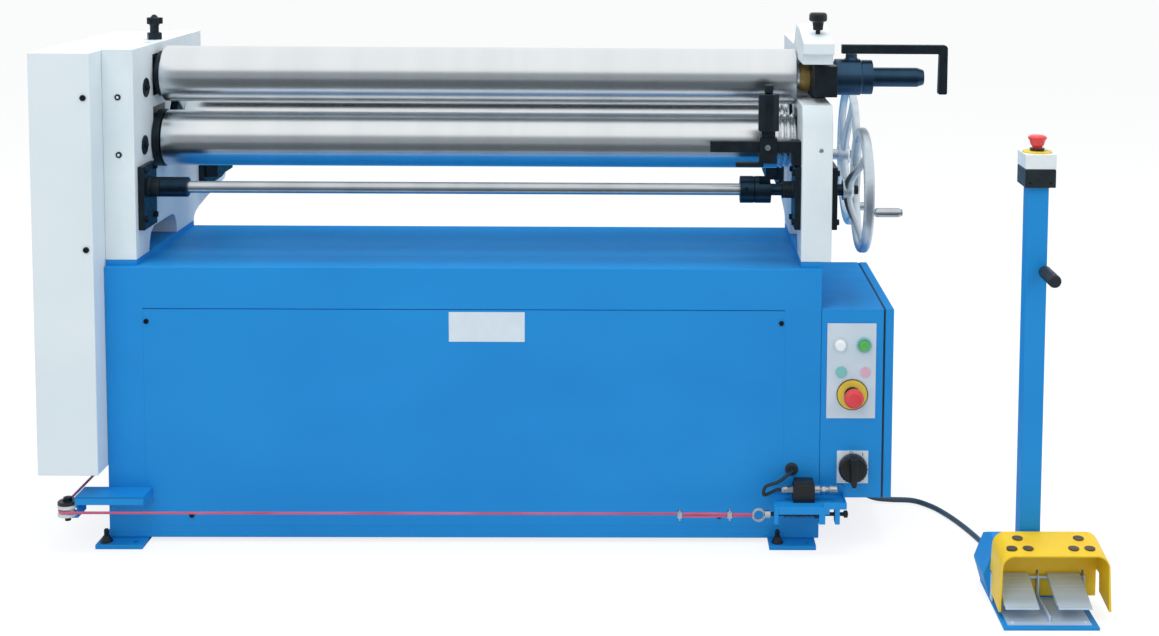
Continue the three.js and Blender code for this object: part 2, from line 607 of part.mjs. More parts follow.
function adjusterRight() {
  const { thick, front, back, bottom, top, boss, bossLength } = ADJUSTER;
  const inner = FRAME.rightInner - thick;
  const outer = FRAME.rightOuter + thick;
  const body = [
    block(inner, FRAME.rightInner - GAP, front, back, bottom, top),
    block(FRAME.rightOuter + GAP, outer, front, back, bottom, top),
    rod("x", SHAFT.radius + 2 - GAP, inner + 1, outer - 1, FRONT_AXIS.y, FRONT_AXIS.z),
    rod("x", boss - 3, inner - bossLength, inner + 1, FRONT_AXIS.y, FRONT_AXIS.z),
    ...boltHeads(outer - 1, outer + 5),
    ...boltHeads(inner - 5, inner + 1),
  ];
  const hole = SHAFT.radius + GAP;
  return carve(body, [bore("x", hole, inner - bossLength - 1, outer + 1, FRONT_AXIS.y, FRONT_AXIS.z)]);
}

function rearGearbox(face, side) {
  const { front, back, split, bottom, ledge, top, deep, thin, boss, rim, cover } = GEARBOX;
  const outline = [[front, bottom], [back, bottom], [back, ledge], [split, ledge], [split, top], [front, top]];
  const from = face + side * GAP;
  const ends = (depth) => [from, face + side * depth].sort((a, b) => a - b);
  const body = [
    prismX(outline, ...ends(thin)),
    block(...ends(deep), front + rim, split + 2 * rim, bottom + cover, top - cover),
    rod("x", boss, ...ends(deep + thin), REAR_AXIS.y, REAR_AXIS.z),
  ];
  for (const [y, z] of [[front + rim, bottom + thin], [back - rim, bottom + thin], [front + rim, top - thin]]) {
    body.push(rod("x", HEAD, ...ends(thin + 5), y, z, 6));
  }
  const reach = deep + thin + 1;
  return carve(body, [bore("x", SHAFT.radius + GAP, face - reach, face + reach, REAR_AXIS.y, REAR_AXIS.z)]);
}

function frontShaft() {
  const { radius, leftEnd, sleeve, sleeveLength, rightEnd } = SHAFT;
  const from = FRAME.leftInner + ADJUSTER.thick + ADJUSTER.bossLength;
  const to = from + sleeveLength;
  return turned("x", [
    [0, leftEnd], [radius, leftEnd], [radius, from], [sleeve, from], [sleeve, to - 1],
    [sleeve - 1, to], [radius, to], [radius, rightEnd], [0, rightEnd],
  ], FRONT_AXIS.y, FRONT_AXIS.z);
}

// Dog coupling with the black stub that turns it from the handwheel's hub.
function shaftCoupling() {
  const { radius, overlap, seam, length } = COUPLING;
  const from = SHAFT.rightEnd - overlap;
  const [split, to, stubEnd] = [from + seam, from + length, FRONT_WHEEL.hubTo - 8];
  const body = turned("x", [
    [0, from], [radius, from], [radius, split - 1], [radius - 1.5, split], [radius, split + 1],
    [radius, to - 1.5], [radius - 1.5, to], [SHAFT.radius, to], [SHAFT.radius, stubEnd], [0, stubEnd],
  ], FRONT_AXIS.y, FRONT_AXIS.z);
  const cuts = [
    bore("x", SHAFT.radius + GAP, from - 1, SHAFT.rightEnd + 1, FRONT_AXIS.y, FRONT_AXIS.z),
    block(split + 10, to + 1, FRONT_AXIS.y - radius - 1, FRONT_AXIS.y + 2,
      FRONT_AXIS.z + 15, FRONT_AXIS.z + radius + 1),
    rod("y", 4, FRONT_AXIS.y - radius - 1, FRONT_AXIS.y - radius + 5, from + 12, FRONT_AXIS.z + 5),
  ];
  return carve([body], cuts);
}

const rearShaft = () => rod("x", SHAFT.radius, SHAFT.leftEnd, REAR_WHEEL.hubTo - 8, REAR_AXIS.y, REAR_AXIS.z);

function gripCentre(wheel, axis, angle) {
  return [axis.y + wheel.rim * Math.cos(angle), axis.z + wheel.rim * Math.sin(angle)];
}

// Dished three-spoke wheel; the pin of its turning grip stands on the rim at the given angle.
function handwheel(wheel, axis, gripAngle) {
  const { hubFrom, hubTo, rimX, rim, rimR, hub, spoke, gripLength } = wheel;
  const facets = 6;
  const ring = Array.from({ length: facets + 1 }, (_, i) => {
    const angle = (2 * Math.PI * i) / facets;
    return [rim + rimR * Math.cos(angle), rimX + rimR * Math.sin(angle)];
  });
  const [gripY, gripZ] = gripCentre(wheel, axis, gripAngle);
  const nut = SHAFT.radius - 3;
  const pinHead = rimX + rimR + gripLength + 1;
  const parts = [
    turned("x", ring, axis.y, axis.z, 28),
    turned("x", [
      [0, hubFrom], [hub, hubFrom], [hub, hubTo - 5], [hub - 5, hubTo],
      [nut, hubTo], [nut, hubTo + 10], [0, hubTo + 10],
    ], axis.y, axis.z),
    turned("x", [
      [0, rimX], [GRIP_PIN, rimX], [GRIP_PIN, pinHead], [GRIP_PIN + 3, pinHead], [GRIP_PIN + 3, pinHead + 3],
      [0, pinHead + 3],
    ], gripY, gripZ),
  ];
  const armOutline = [[hubFrom + 4, hub - 6], [hubTo - 5, hub - 6], [rimX + 6, rim], [rimX - 6, rim]];
  for (let i = 0; i < 3; i += 1) {
    const arm = prismY(armOutline, -spoke / 2, spoke / 2);
    const turn = gripAngle - Math.PI / 6 + (i * 2 * Math.PI) / 3;
    parts.push(arm.rotateX(turn).translate(0, axis.y, axis.z));
  }
  return carve(parts, [bore("x", SHAFT.radius + GAP, hubFrom - 1, hubTo - 7, axis.y, axis.z)]);
}

function handGrip(wheel, axis, angle) {
  const [y, z] = gripCentre(wheel, axis, angle);
  const from = wheel.rimX + wheel.rimR + GAP;
  const to = from + wheel.gripLength;
  const hole = GRIP_PIN + GAP;
  const { grip } = wheel;
  return turned("x", [
    [hole, from], [grip - 2, from], [grip - 1, from + 6], [grip, (from + to) / 2],
    [grip - 1, to - 6], [grip - 2.5, to], [hole, to], [hole, from],
  ], y, z, 12);
}

// Top knobs
function hexagon(x, y, radius) {
  return Array.from({ length: 6 }, (_, i) => [
    x + radius * Math.cos((Math.PI * i) / 3), y + radius * Math.sin((Math.PI * i) / 3),
  ]);
}

function starKnob() {
  const { x, y, stem, nut, nutHeight, neck, head, lobes } = KNOB;
  const base = FRAME.top + GAP;
  const parts = [
    rod("z", stem, base - 26, base + 20, x, y),
    prismZ(hexagon(x, y, nut), base, base + nutHeight),
    turned("z", [
      [0, base + nutHeight - 1], [neck, base + nutHeight - 1], [neck, base + 34], [head, base + 34],
      [head, base + 48], [8, base + 48], [4, base + 54], [0, base + 55],
    ], x, y, 12),
  ];
  for (let i = 0; i < lobes; i += 1) {
    const angle = (2 * Math.PI * i) / lobes + Math.PI / 2;
    const [lobeX, lobeY] = [x + (head - 1) * Math.cos(angle), y + (head - 1) * Math.sin(angle)];
    parts.push(rod("z", stem, base + 34, base + 48, lobeX, lobeY));
  }
  return carve(parts);
}

function clampKnob() {
  const { x, y, screw, slopeZ } = CLAMP;
  const foot = UPPER_Z + BEARING.rise + BEARING.half + GAP;
  return turned("z", [
    [0, foot], [screw, foot], [screw, slopeZ + 8], [11, slopeZ + 8], [12, slopeZ + 27], [19, slopeZ + 27],
    [19, slopeZ + 42], [17, slopeZ + 45], [0, slopeZ + 45],
  ], x, y, 20);
}

// Edge guide
function guideBar() {
  const { left, y, bottom, top, thick } = GUIDE;
  const half = thick / 2;
  const end = FRAME.rightInner - GAP;
  return carve([
    block(left, end, y - half, y + half, bottom, top),
    block(end - 19, end, y - half, y + 34, bottom - 27, top),
    rod("y", HEAD, y - half - 3, y, end - 9, bottom - 14),
  ]);
}

function guideSlider() {
  const { x, y, bottom, top, thick, sleeveBottom, sleeveTop, stud } = GUIDE;
  const half = thick / 2;
  const parts = [
    block(x - 19, x + 18, y - half - 7, y + half + 7, bottom - 23, top + 8),
    block(x - 15, x + 14, y - half - 2, y + half + 2, top + 7, sleeveBottom),
    block(x - 68, x - 10, y - 8, y + 12, bottom - 31, bottom - 22),
    turned("z", [
      [0, sleeveBottom - 1], [stud, sleeveBottom - 1], [stud, sleeveTop + GAP], [8, sleeveTop + GAP],
      [9, sleeveTop + 4], [9, sleeveTop + 19], [0, sleeveTop + 19],
    ], x, y, 12),
    rod("y", HEAD, y - half - 10, y - half - 6, x - 2, bottom + 11),
  ];
  return carve(parts, [block(x - 30, x + 30, y - half - GAP, y + half + GAP, bottom - GAP, top + GAP)]);
}

function guideRoller() {
  const { x, y, sleeve, sleeveBottom, sleeveTop, stud } = GUIDE;
  const sides = 8;
  const octagon = Array.from({ length: sides }, (_, i) => {
    const angle = (2 * Math.PI * (i + 0.5)) / sides;
    return [x + sleeve * Math.cos(angle), y + sleeve * Math.sin(angle)];
  });
  const body = [prismZ(octagon, sleeveBottom + GAP, sleeveTop)];
  return carve(body, [bore("z", stud + GAP, sleeveBottom - 1, sleeveTop + 1, x, y, 12)]);
}

// Electrical box
const KNUCKLES = [EBOX.bottom + 62, EBOX.top - 73];
const HINGE = { x: EBOX.right + 10, y: EBOX.depth + EBOX.knuckle + 1 };

function eboxBody() {
  const { left, right, depth, bottom, top, knuckle, pin, leaf, knuckleLength } = EBOX;
  const { half } = SWITCH;
  const parts = [
    block(left, right, 0, depth, bottom, top),
    block(SWITCH.x - half, SWITCH.x + half, -2, 1, SWITCH.z - half - 2, SWITCH.z + half + 2),
    tubeStub("z", CABLE.gland, CABLE.radius + GAP, CABLE.glandEnd, bottom + 1, CABLE.glandX, CABLE.glandY),
  ];
  for (const z of KNUCKLES) {
    parts.push(block(right - leaf, right - 1, depth - 1, depth + SHEET, z + GAP, z + knuckleLength));
    parts.push(block(right - leaf, HINGE.x, depth + GAP, depth + SHEET, z + GAP, z + knuckleLength));
    parts.push(rod("z", knuckle, z + GAP, z + knuckleLength, HINGE.x, HINGE.y));
    parts.push(rod("z", pin, z - 18, z + 10, HINGE.x, HINGE.y));
  }
  const cuts = [
    block(left + SHEET, right + 1, SHEET, depth - SHEET, bottom + SHEET, top - SHEET),
    bore("z", CABLE.radius + GAP, CABLE.glandEnd - 1, bottom + SHEET + 1, CABLE.glandX, CABLE.glandY),
  ];
  return carve(parts, cuts);
}

function eboxDoor() {
  const { right, depth, bottom, top, door, doorWall: wall, knuckle, pin, lock } = EBOX;
  const [inner, outer] = [right + GAP, right + door];
  const parts = [block(inner, outer, 0, depth, bottom, top)];
  const cuts = [block(inner - 1, outer - wall, wall, depth - wall, bottom + wall, top - wall)];
  for (const z of KNUCKLES) {
    parts.push(block(HINGE.x + 1, HINGE.x + knuckle, depth - 1, HINGE.y, z - 20, z));
    parts.push(rod("z", knuckle, z - 20, z, HINGE.x, HINGE.y));
    cuts.push(bore("z", pin + GAP, z - 21, z + 1, HINGE.x, HINGE.y));
  }
  parts.push(rod("x", lock, outer - 1, outer + 3, 40, (bottom + top) / 2));
  return carve(parts, cuts);
}

function controlPlate() {
  const { left, right, bottom, top, lampX, startX, buttonZ, discX, discX2, discZ, stopX, stopZ, bezel } = PLATE;
  const at = (offset) => EBOX.left + offset;
  const parts = [
    block(left, right, -2, -GAP, bottom, top),
    turned("y", [[0, -13], [9, -13], [12.5, -9], [13, -1], [0, -1]], at(lampX), buttonZ),
    rod("y", 12, -4, -1, at(discX), discZ),
    rod("y", 11, -4, -1, at(discX2), discZ),
    rod("y", 33, -4, -1, at(stopX), stopZ),
    rod("y", bezel + 5, -10, -1, at(stopX), stopZ),
    rod("y", bezel + 4.5, -8, -1, at(startX), buttonZ),
  ];
  return carve(parts, [
    bore("y", bezel + GAP, -20, -GAP - 1, at(startX), buttonZ),
    bore("y", bezel + GAP, -20, -GAP - 1, at(stopX), stopZ),
  ]);
}

const startButton = () => turned("y", [
  [0, -14], [PLATE.bezel - 3, -14], [PLATE.bezel, -12], [PLATE.bezel, -5.5], [0, -5.5],
], EBOX.left + PLATE.startX, PLATE.buttonZ);

const panelStop = () => turned("y", [
  [0, -42], [13, -41], [21, -34], [21, -28], [14, -22], [PLATE.bezel, -21], [PLATE.bezel, -8], [0, -8],
], EBOX.left + PLATE.stopX, PLATE.stopZ);

function switchKnob() {
  const { x, z, knob, knobFront, pointer, pointerFront } = SWITCH;
  return carve([
    rod("y", knob, knobFront, -2 - GAP, x, z),
    block(x - 8, x + 8, pointerFront, -12, z - pointer, z + knob - 3),
  ]);
}

// Trip wire along the front and its limit switch
const PULLEY_Y = WIRE.y + WIRE.groove + WIRE.radius;

function pulleyBracket() {
  const { pulleyX, y, z, groove } = WIRE;
  const [shelf, post] = [33, 7];
  const inner = y + groove - 4;
  const parts = [
    block(0, 91, -SHEET - GAP, -GAP, z - 2, z + shelf),
    block(-50, 91, y, -GAP, z + shelf - SHEET, z + shelf),
    block(-50, -50 + SHEET, inner, -GAP, z - 15, z + shelf),
    block(pulleyX - 15, -50 + SHEET, inner, PULLEY_Y + 14, z - 15, z - 12),
    rod("z", 6, z - 22, z + 23, pulleyX, PULLEY_Y),
    prismZ(hexagon(pulleyX, PULLEY_Y, post + 2), z + 20 + GAP, z + 27),
    rod("y", HEAD, -8, -1, 34, z + 15, 6),
    rod("y", HEAD, -8, -1, 76, z + 15, 6),
  ];
  return carve(parts);
}

function pulleyWheel() {
  const { pulleyX, z, groove, pulley } = WIRE;
  const hole = 6 + 2 * GAP;
  return turned("z", [
    [hole, z - 11], [pulley, z - 11], [pulley, z - 6], [groove - GAP, z - 2.5], [groove - GAP, z + 2.5],
    [pulley, z + 6], [pulley, z + 20], [hole, z + 20], [hole, z - 11],
  ], pulleyX, PULLEY_Y, 16);
}

function tripWire() {
  const { radius, y, z, pulleyX, groove, anchorY, end } = WIRE;
  const bend = groove + radius;
  const corner = new THREE.Path().absarc(pulleyX, PULLEY_Y, bend, -Math.PI / 2, -Math.PI, true).getPoints(8)
    .map((p) => vec(p.x, p.y, z));
  const route = [vec(pulleyX + 4, y, z), ...corner, vec(pulleyX - bend, PULLEY_Y + 4, z)];
  return carve([
    rod("x", radius, pulleyX, end, y, z, 8),
    sweep(new THREE.CatmullRomCurve3(route), radius, 8, 10),
    rod("y", radius, PULLEY_Y, anchorY - GAP, pulleyX - bend, z, 8),
  ]);
}

function switchBracket() {
  const { left, right, shelfZ, rod: rodR } = TRIP;
  const [front, back] = [WIRE.y - 12, WIRE.y + 14];
  const tab = (from, to) => block(from, to, front, back, WIRE.z - 18, shelfZ);
  const parts = [
    block(left + 22, right, -4 - GAP, -GAP, shelfZ - 6, shelfZ + 22),
    block(left, right, front, -GAP, shelfZ - SHEET, shelfZ),
    tab(left, left + 9),
    tab(left + 93, left + 106),
    tab(left + 126, left + 136),
  ];
  return carve(parts, [bore("x", rodR + GAP, left - 1, right + 1, WIRE.y, WIRE.z)]);
}

function tripRod() {
  const { ringX, ring, ringWire, rod: rodR, rodTo, collar, clampX, left } = TRIP;
  const { y, z, radius, end } = WIRE;
  const sides = 6;
  const loop = Array.from({ length: sides + 1 }, (_, i) => {
    const angle = (2 * Math.PI * i) / sides;
    return [ring + ringWire * Math.cos(angle), y + ringWire * Math.sin(angle)];
  });
  const lower = z - 2 * radius + 0.5;
  const clamp = (x0, x1) => block(x0, x1, y - 6, y + 6, lower - 4, z + 6);
  const parts = [
    turned("y", loop, ringX, z - 2, 16),
    rod("x", radius, end + TRIP.travel + 2, ringX - ring + 2, y, z, 8),
    rod("x", radius, end - 2, ringX - ring + 3, y, lower, 8),
    clamp(end - 10, end + 10),
    clamp(clampX - 6, clampX + 7),
    rod("x", rodR, ringX + ring - 1, rodTo, y, z),
    rod("x", 8, ringX + ring, ringX + ring + 12, y, z, 6),
    rod("x", collar, left + 84, left + 92, y, z, 12),
    rod("x", 7.5, rodTo - 9, rodTo - 1, y, z, 6),
  ];
  return carve(parts, [bore("x", radius + GAP, end - 12, end + TRIP.travel + GAP, y, z, 8)]);
}

// Least distance between points of a coil that are at least half a turn apart, less the wire's thickness.
function leastGap(points, steps, wire) {
  let least = Infinity;
  points.forEach((point, i) => points.slice(i + steps / 2).forEach((other) => {
    least = Math.min(least, point.distanceTo(other));
  }));
  return least - 2 * wire;
}

// Compression spring on the rod, between the bracket's tab and the collar.
function tripSpring() {
  const { turns, steps, radius, wire } = SPRING;
  const [from, to] = [TRIP.left + 9 + wire + GAP, TRIP.left + 84 - wire - GAP];
  const points = Array.from({ length: turns * steps + 1 }, (_, i) => {
    const angle = (2 * Math.PI * i) / steps;
    const x = from + ((to - from) * i) / (turns * steps);
    return vec(x, WIRE.y + radius * Math.cos(angle), WIRE.z + radius * Math.sin(angle));
  });
  console.log(`trip spring: least gap between its turns ${leastGap(points, steps, wire).toFixed(2)} mm`);
  return sweep(new THREE.CatmullRomCurve3(points), wire, 5, turns * steps);
}

function limitSwitch() {
  const { left, right, y, z, gland, glandLength, plungerTo } = LIMIT;
  const from = left - glandLength;
  return carve([
    block(left, right, y - 15, y + 15, TRIP.shelfZ + GAP, z + 22),
    turned("x", [[0, from], [gland - 2, from], [gland, from + 5], [gland, left + 1], [0, left + 1]], y, z, 12),
    turned("x", [
      [0, right - 1], [10, right - 1], [10, right + 12], [7, right + 14], [7, right + 30], [9.5, right + 31],
      [9.5, plungerTo], [0, plungerTo],
    ], y, z, 12),
  ]);
}

function switchLead() {
  const end = LIMIT.left - LIMIT.glandLength - GAP;
  const { x, z, proud } = GROMMET;
  return sweep(new THREE.CatmullRomCurve3([
    vec(x, -proud - GAP, z), vec(x, -12, z), vec(x - 8, -25, z - 2), vec(x - 30, -38, z - 14),
    vec(end - 34, -42, LIMIT.z + 8), vec(end - 36, -42, LIMIT.z - 8), vec(end - 22, -36, LIMIT.z - 6),
    vec(end - 8, LIMIT.y, LIMIT.z), vec(end, LIMIT.y, LIMIT.z),
  ], false, "centripetal"), LEAD, 8, 22);
}

// Pedal station
const POST_FRONT = POST.y - POST.width / 2;
const POST_BACK = POST.y + POST.width / 2;

// Base plate, tread plate, pedal carriers, housing and post, welded together.
function pedalStand() {
  const { left, right, front, back, plate, tread } = STATION;
  const { hingeY, hingeZ, pin, lefts, width } = PEDAL;
  const { bulge, waist, top, shoulder } = HOUSING;
  const half = POST.width / 2;
  const rib = (lefts[0] + width + lefts[1]) / 2;
  const { handleLength, handle, handleNeck } = POST;
  const handleEnd = POST_FRONT - handleLength;
  const carrier = (x) => block(x, x + SHEET, hingeY - 8, HOUSING_FRONT + 1, plate, hingeZ + 6);
  const parts = [
    block(left, right, front, back, 0, plate),
    block(left + 9, right - 13, front + 9, HOUSING_FRONT + 1, plate - 1, tread),
    prismY([
      [left, plate - 1], [right, plate - 1], [right + bulge, waist],
      [right - shoulder, top], [left + shoulder, top], [left - bulge, waist],
    ], HOUSING_FRONT, back),
    block(rib - 2, rib + 2, front + 18, hingeY - 12, tread - 1, tread + 12),
    rod("x", pin, left + 1, right - 1, hingeY, hingeZ),
    carrier(left), carrier(rib - SHEET / 2), carrier(right - SHEET),
    block(POST.x - half, POST.x + half, POST_FRONT, POST_BACK, top - 1, POST.top),
    turned("y", [
      [0, handleEnd], [handle - 2, handleEnd], [handle, handleEnd + 3], [handle, POST_FRONT - 12],
      [handleNeck, POST_FRONT - 10], [handleNeck, POST_FRONT + 1], [0, POST_FRONT + 1],
    ], POST.x + POST.handleX, POST.handleZ),
  ];
  for (const x of [left + 20, right - 24]) parts.push(rod("z", 4, tread - 1, tread + 2, x, front + 18, 8));
  const inside = half - POST.wall;
  const cuts = [
    block(POST.x - inside, POST.x + inside, POST.y - inside, POST.y + inside, top - 40, POST.top + 1),
    bore("y", CABLE.radius + GAP, back - 20, back + 1, CABLE.entryX, CABLE.entryZ),
  ];
  return carve(parts, cuts);
}

function guardOutline(inset) {
  const { left, right, top, foot, corner, flare } = GUARD;
  const bottom = inset ? foot - 50 : foot;
  const shape = new THREE.Shape();
  shape.moveTo(left - flare + inset, bottom);
  shape.lineTo(right + flare - inset, bottom);
  shape.lineTo(right - inset, top - corner);
  shape.quadraticCurveTo(right - inset, top - inset, right - corner, top - inset);
  shape.lineTo(left + corner, top - inset);
  shape.quadraticCurveTo(left + inset, top - inset, left + inset, top - corner);
  shape.closePath();
  return shape;
}

// Moulded hood over the pedals; its roof rises to the back, with a back wall and arched side walls.
function pedalGuard() {
  const { front, back, left, right, top, foot, wall, flare, slope, arch, hole, holeGroups, holes } = GUARD;
  const depth = back - front;
  const rise = new THREE.Matrix4().set(1, 0, 0, 0, 0, 1, 0, 0, 0, slope, 1, -slope * front, 0, 0, 0, 1);
  const span = right - left;
  const wide = [left - flare - 1, right + flare + 1];
  const archY = front + arch + 16;
  const cuts = [
    prismY(guardOutline(wall), front - 1, back - wall).applyMatrix4(rise),
    block(...wide, back - wall - 1, back + 1, 0, 58),
    rod("x", arch, ...wide, archY, foot - 8, 24),
    block(...wide, archY, back + 1, 0, foot + arch - 8),
  ];
  for (const side of holeGroups) {
    for (const [across, along] of holes) {
      cuts.push(rod("z", hole, top - 10, top + 20, left + span * (side + across), front + depth * along, 10));
    }
  }
  return carve([prismY(guardOutline(0), front, back).applyMatrix4(rise)], cuts);
}

// Sloping tread with folded sides, hung on the hinge pin at its back.
function pedal(left) {
  const { width, front, frontZ, backZ, hingeY, hingeZ, thick, pin, barrel, skirt } = PEDAL;
  const [from, to] = [left, left + width];
  const back = hingeY + 4;
  const outline = [[back, backZ - thick], [back, backZ], [front, frontZ], [front, frontZ - thick]];
  const toe = front + 20;
  const side = [[back, backZ - skirt], [back, backZ - 1], [toe, frontZ + 4], [toe, frontZ - skirt + 6]];
  const parts = [
    prismX(outline, from, to),
    prismX(side, from, from + 2),
    prismX(side, to - 2, to),
    rod("x", barrel, from + 1, to - 1, hingeY, hingeZ, 12),
  ];
  return carve(parts, [bore("x", pin + GAP, from - 1, to + 1, hingeY, hingeZ, 12)]);
}

function stopBox() {
  const { halfX, halfY, height, seam, disc, cap, stem } = STOP_BOX;
  const { x, y, top: bottom } = POST;
  const top = bottom + height;
  const layer = (inset, z0, z1) =>
    block(x - halfX + inset, x + halfX - inset, y - halfY + inset, y + halfY - inset, z0, z1);
  return carve([
    layer(0, bottom + GAP, bottom + seam - 1),
    layer(1, bottom + seam - 2, bottom + seam + 1),
    layer(0, bottom + seam, top),
    rod("z", disc, top - 1, top + 5, x, y),
    rod("z", cap - 4, top - 1, top + 8, x, y),
  ], [bore("z", stem + GAP, top - 6, top + 20, x, y)]);
}

function stopCap() {
  const { height, cap, stem } = STOP_BOX;
  const top = POST.top + height;
  return turned("z", [
    [0, top + 1], [stem, top + 1], [stem, top + 14], [cap - 3, top + 15], [cap, top + 19], [cap, top + 24],
    [cap - 5, top + 31], [0, top + 33],
  ], POST.x, POST.y);
}

function pedalCable() {
  const { radius, glandX, glandY, glandEnd, floor, entryX, entryZ } = CABLE;
  return sweep(new THREE.CatmullRomCurve3([
    vec(glandX, glandY, glandEnd - GAP), vec(glandX, glandY, glandEnd - 16), vec(glandX + 4, glandY, 42),
    vec(glandX + 17, glandY, 21), vec(glandX + 40, glandY, floor + 4), vec(glandX + 74, glandY, floor),
    vec(1727, 224, floor), vec(1762, 190, floor), vec(1788, 141, floor), vec(1812, 75, floor),
    vec(1832, 0, floor), vec(entryX - 4, -70, floor), vec(entryX, -120, floor + 4),
    vec(entryX, STATION.back + 25, entryZ - 2), vec(entryX, STATION.back + GAP, entryZ),
  ], false, "centripetal"), radius, 8, 30);
}

// Assembly
const leftBlock = SWING.x;
const rightBlock = FRAME.rightOuter - SWING.x;
const frontGrip = THREE.MathUtils.degToRad(192);
const rearGrip = THREE.MathUtils.degToRad(-62);

place("cabinet_shell", cabinetShell(), FINISH.blue);
place("front_panel", frontPanel(), FINISH.blue);
place("foot_bar_left", footBar(FOOT.left), FINISH.blue);
place("foot_bar_right", footBar(FOOT.right), FINISH.blue);
place("frame_left", frameLeft(), FINISH.white);
place("frame_right", frameRight(), FINISH.white);
place("gear_cover", gearCover(), FINISH.white);
place("gear_motor", gearMotor(), FINISH.motorGrey);
place("upper_gear", gearDisc(TRAIN.upper), FINISH.gearSteel);
place("lower_gear", gearDisc(TRAIN.lower), FINISH.gearSteel);
place("idler_gear", gearDisc(TRAIN.idler), FINISH.gearSteel);
place("bull_gear", gearDisc(TRAIN.bull), FINISH.gearSteel);
place("motor_pinion", gearDisc(TRAIN.pinion), FINISH.gearSteel);
place("lower_block_left", liftBlock(leftBlock, true), FINISH.blackOxide);
place("lower_block_right", liftBlock(rightBlock, false), FINISH.blackOxide);
place("lower_roll", groovedRoll(ROLL.y, ROLL.lowerZ, ROLL_SIDES), FINISH.polishedSteel);
place("pivot_block", pivotBlock(), FINISH.blackOxide);
place("bearing_block", bearingBlock(), FINISH.blackOxide);
place("upper_roll", upperRoll(), FINISH.polishedSteel);
place("release_sleeve", releaseSleeve(), FINISH.blackOxide);
place("rear_block_left", bendBlock(leftBlock), FINISH.blackOxide);
place("rear_block_right", bendBlock(rightBlock), FINISH.blackOxide);
place("rear_roll", groovedRoll(BEND.y, BEND.z, 16), FINISH.polishedSteel);
place("front_plate_left", adjusterLeft(), FINISH.blackOxide);
place("front_plate_right", adjusterRight(), FINISH.blackOxide);
place("rear_gearbox_left", rearGearbox(FRAME.leftInner, 1), FINISH.blackOxide);
place("rear_gearbox_right", rearGearbox(FRAME.rightInner, -1), FINISH.blackOxide);
place("front_shaft", frontShaft(), FINISH.polishedSteel);
place("shaft_coupling", shaftCoupling(), FINISH.blackOxide);
place("front_handwheel", handwheel(FRONT_WHEEL, FRONT_AXIS, frontGrip), FINISH.castAluminium);
place("front_grip", handGrip(FRONT_WHEEL, FRONT_AXIS, frontGrip), FINISH.polishedSteel);
place("rear_shaft", rearShaft(), FINISH.polishedSteel);
place("rear_handwheel", handwheel(REAR_WHEEL, REAR_AXIS, rearGrip), FINISH.castAluminium);
place("rear_grip", handGrip(REAR_WHEEL, REAR_AXIS, rearGrip), FINISH.polishedSteel);
place("left_knob", starKnob(), FINISH.blackOxide);
place("clamp_knob", clampKnob(), FINISH.blackPlastic);
place("guide_bar", guideBar(), FINISH.blackOxide);
place("guide_slider", guideSlider(), FINISH.blackOxide);
place("guide_roller", guideRoller(), FINISH.blackOxide);
place("ebox_body", eboxBody(), FINISH.blue);
place("ebox_door", eboxDoor(), FINISH.blue);
place("control_plate", controlPlate(), FINISH.plateGrey);
place("start_button", startButton(), FINISH.green);
place("panel_stop", panelStop(), FINISH.red);
place("switch_knob", switchKnob(), FINISH.blackPlastic);
place("pulley_bracket", pulleyBracket(), FINISH.blue);
place("pulley_wheel", pulleyWheel(), FINISH.blackPlastic);
place("trip_wire", tripWire(), FINISH.wireRed);
place("switch_bracket", switchBracket(), FINISH.blue);
place("trip_rod", tripRod(), FINISH.gearSteel);
place("trip_spring", tripSpring(), FINISH.blackOxide);
place("limit_switch", limitSwitch(), FINISH.blackPlastic);
place("switch_lead", switchLead(), FINISH.blackPlastic);
place("pedal_stand", pedalStand(), FINISH.blue);
place("pedal_guard", pedalGuard(), FINISH.yellow);
place("pedal_left", pedal(PEDAL.lefts[0]), FINISH.galvanised);
place("pedal_right", pedal(PEDAL.lefts[1]), FINISH.galvanised);
place("stop_box", stopBox(), FINISH.white);
place("stop_cap", stopCap(), FINISH.red);
place("pedal_cable", pedalCable(), FINISH.cable);

machine.position.copy(ORIGIN);
machine.updateMatrixWorld(true);

export default machine;
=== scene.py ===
"""Looks of an electric slip roll machine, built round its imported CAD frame.

Sizes are millimetres of the machine: x from the cabinet's left edge, y from its front face to the back,
z from the floor. place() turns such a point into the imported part's frame, in metres.
"""
import json
import logging
import math
from collections.abc import Iterable, Sequence
from dataclasses import dataclass
from enum import Enum

import bmesh
import bpy
from mathutils import Matrix, Vector

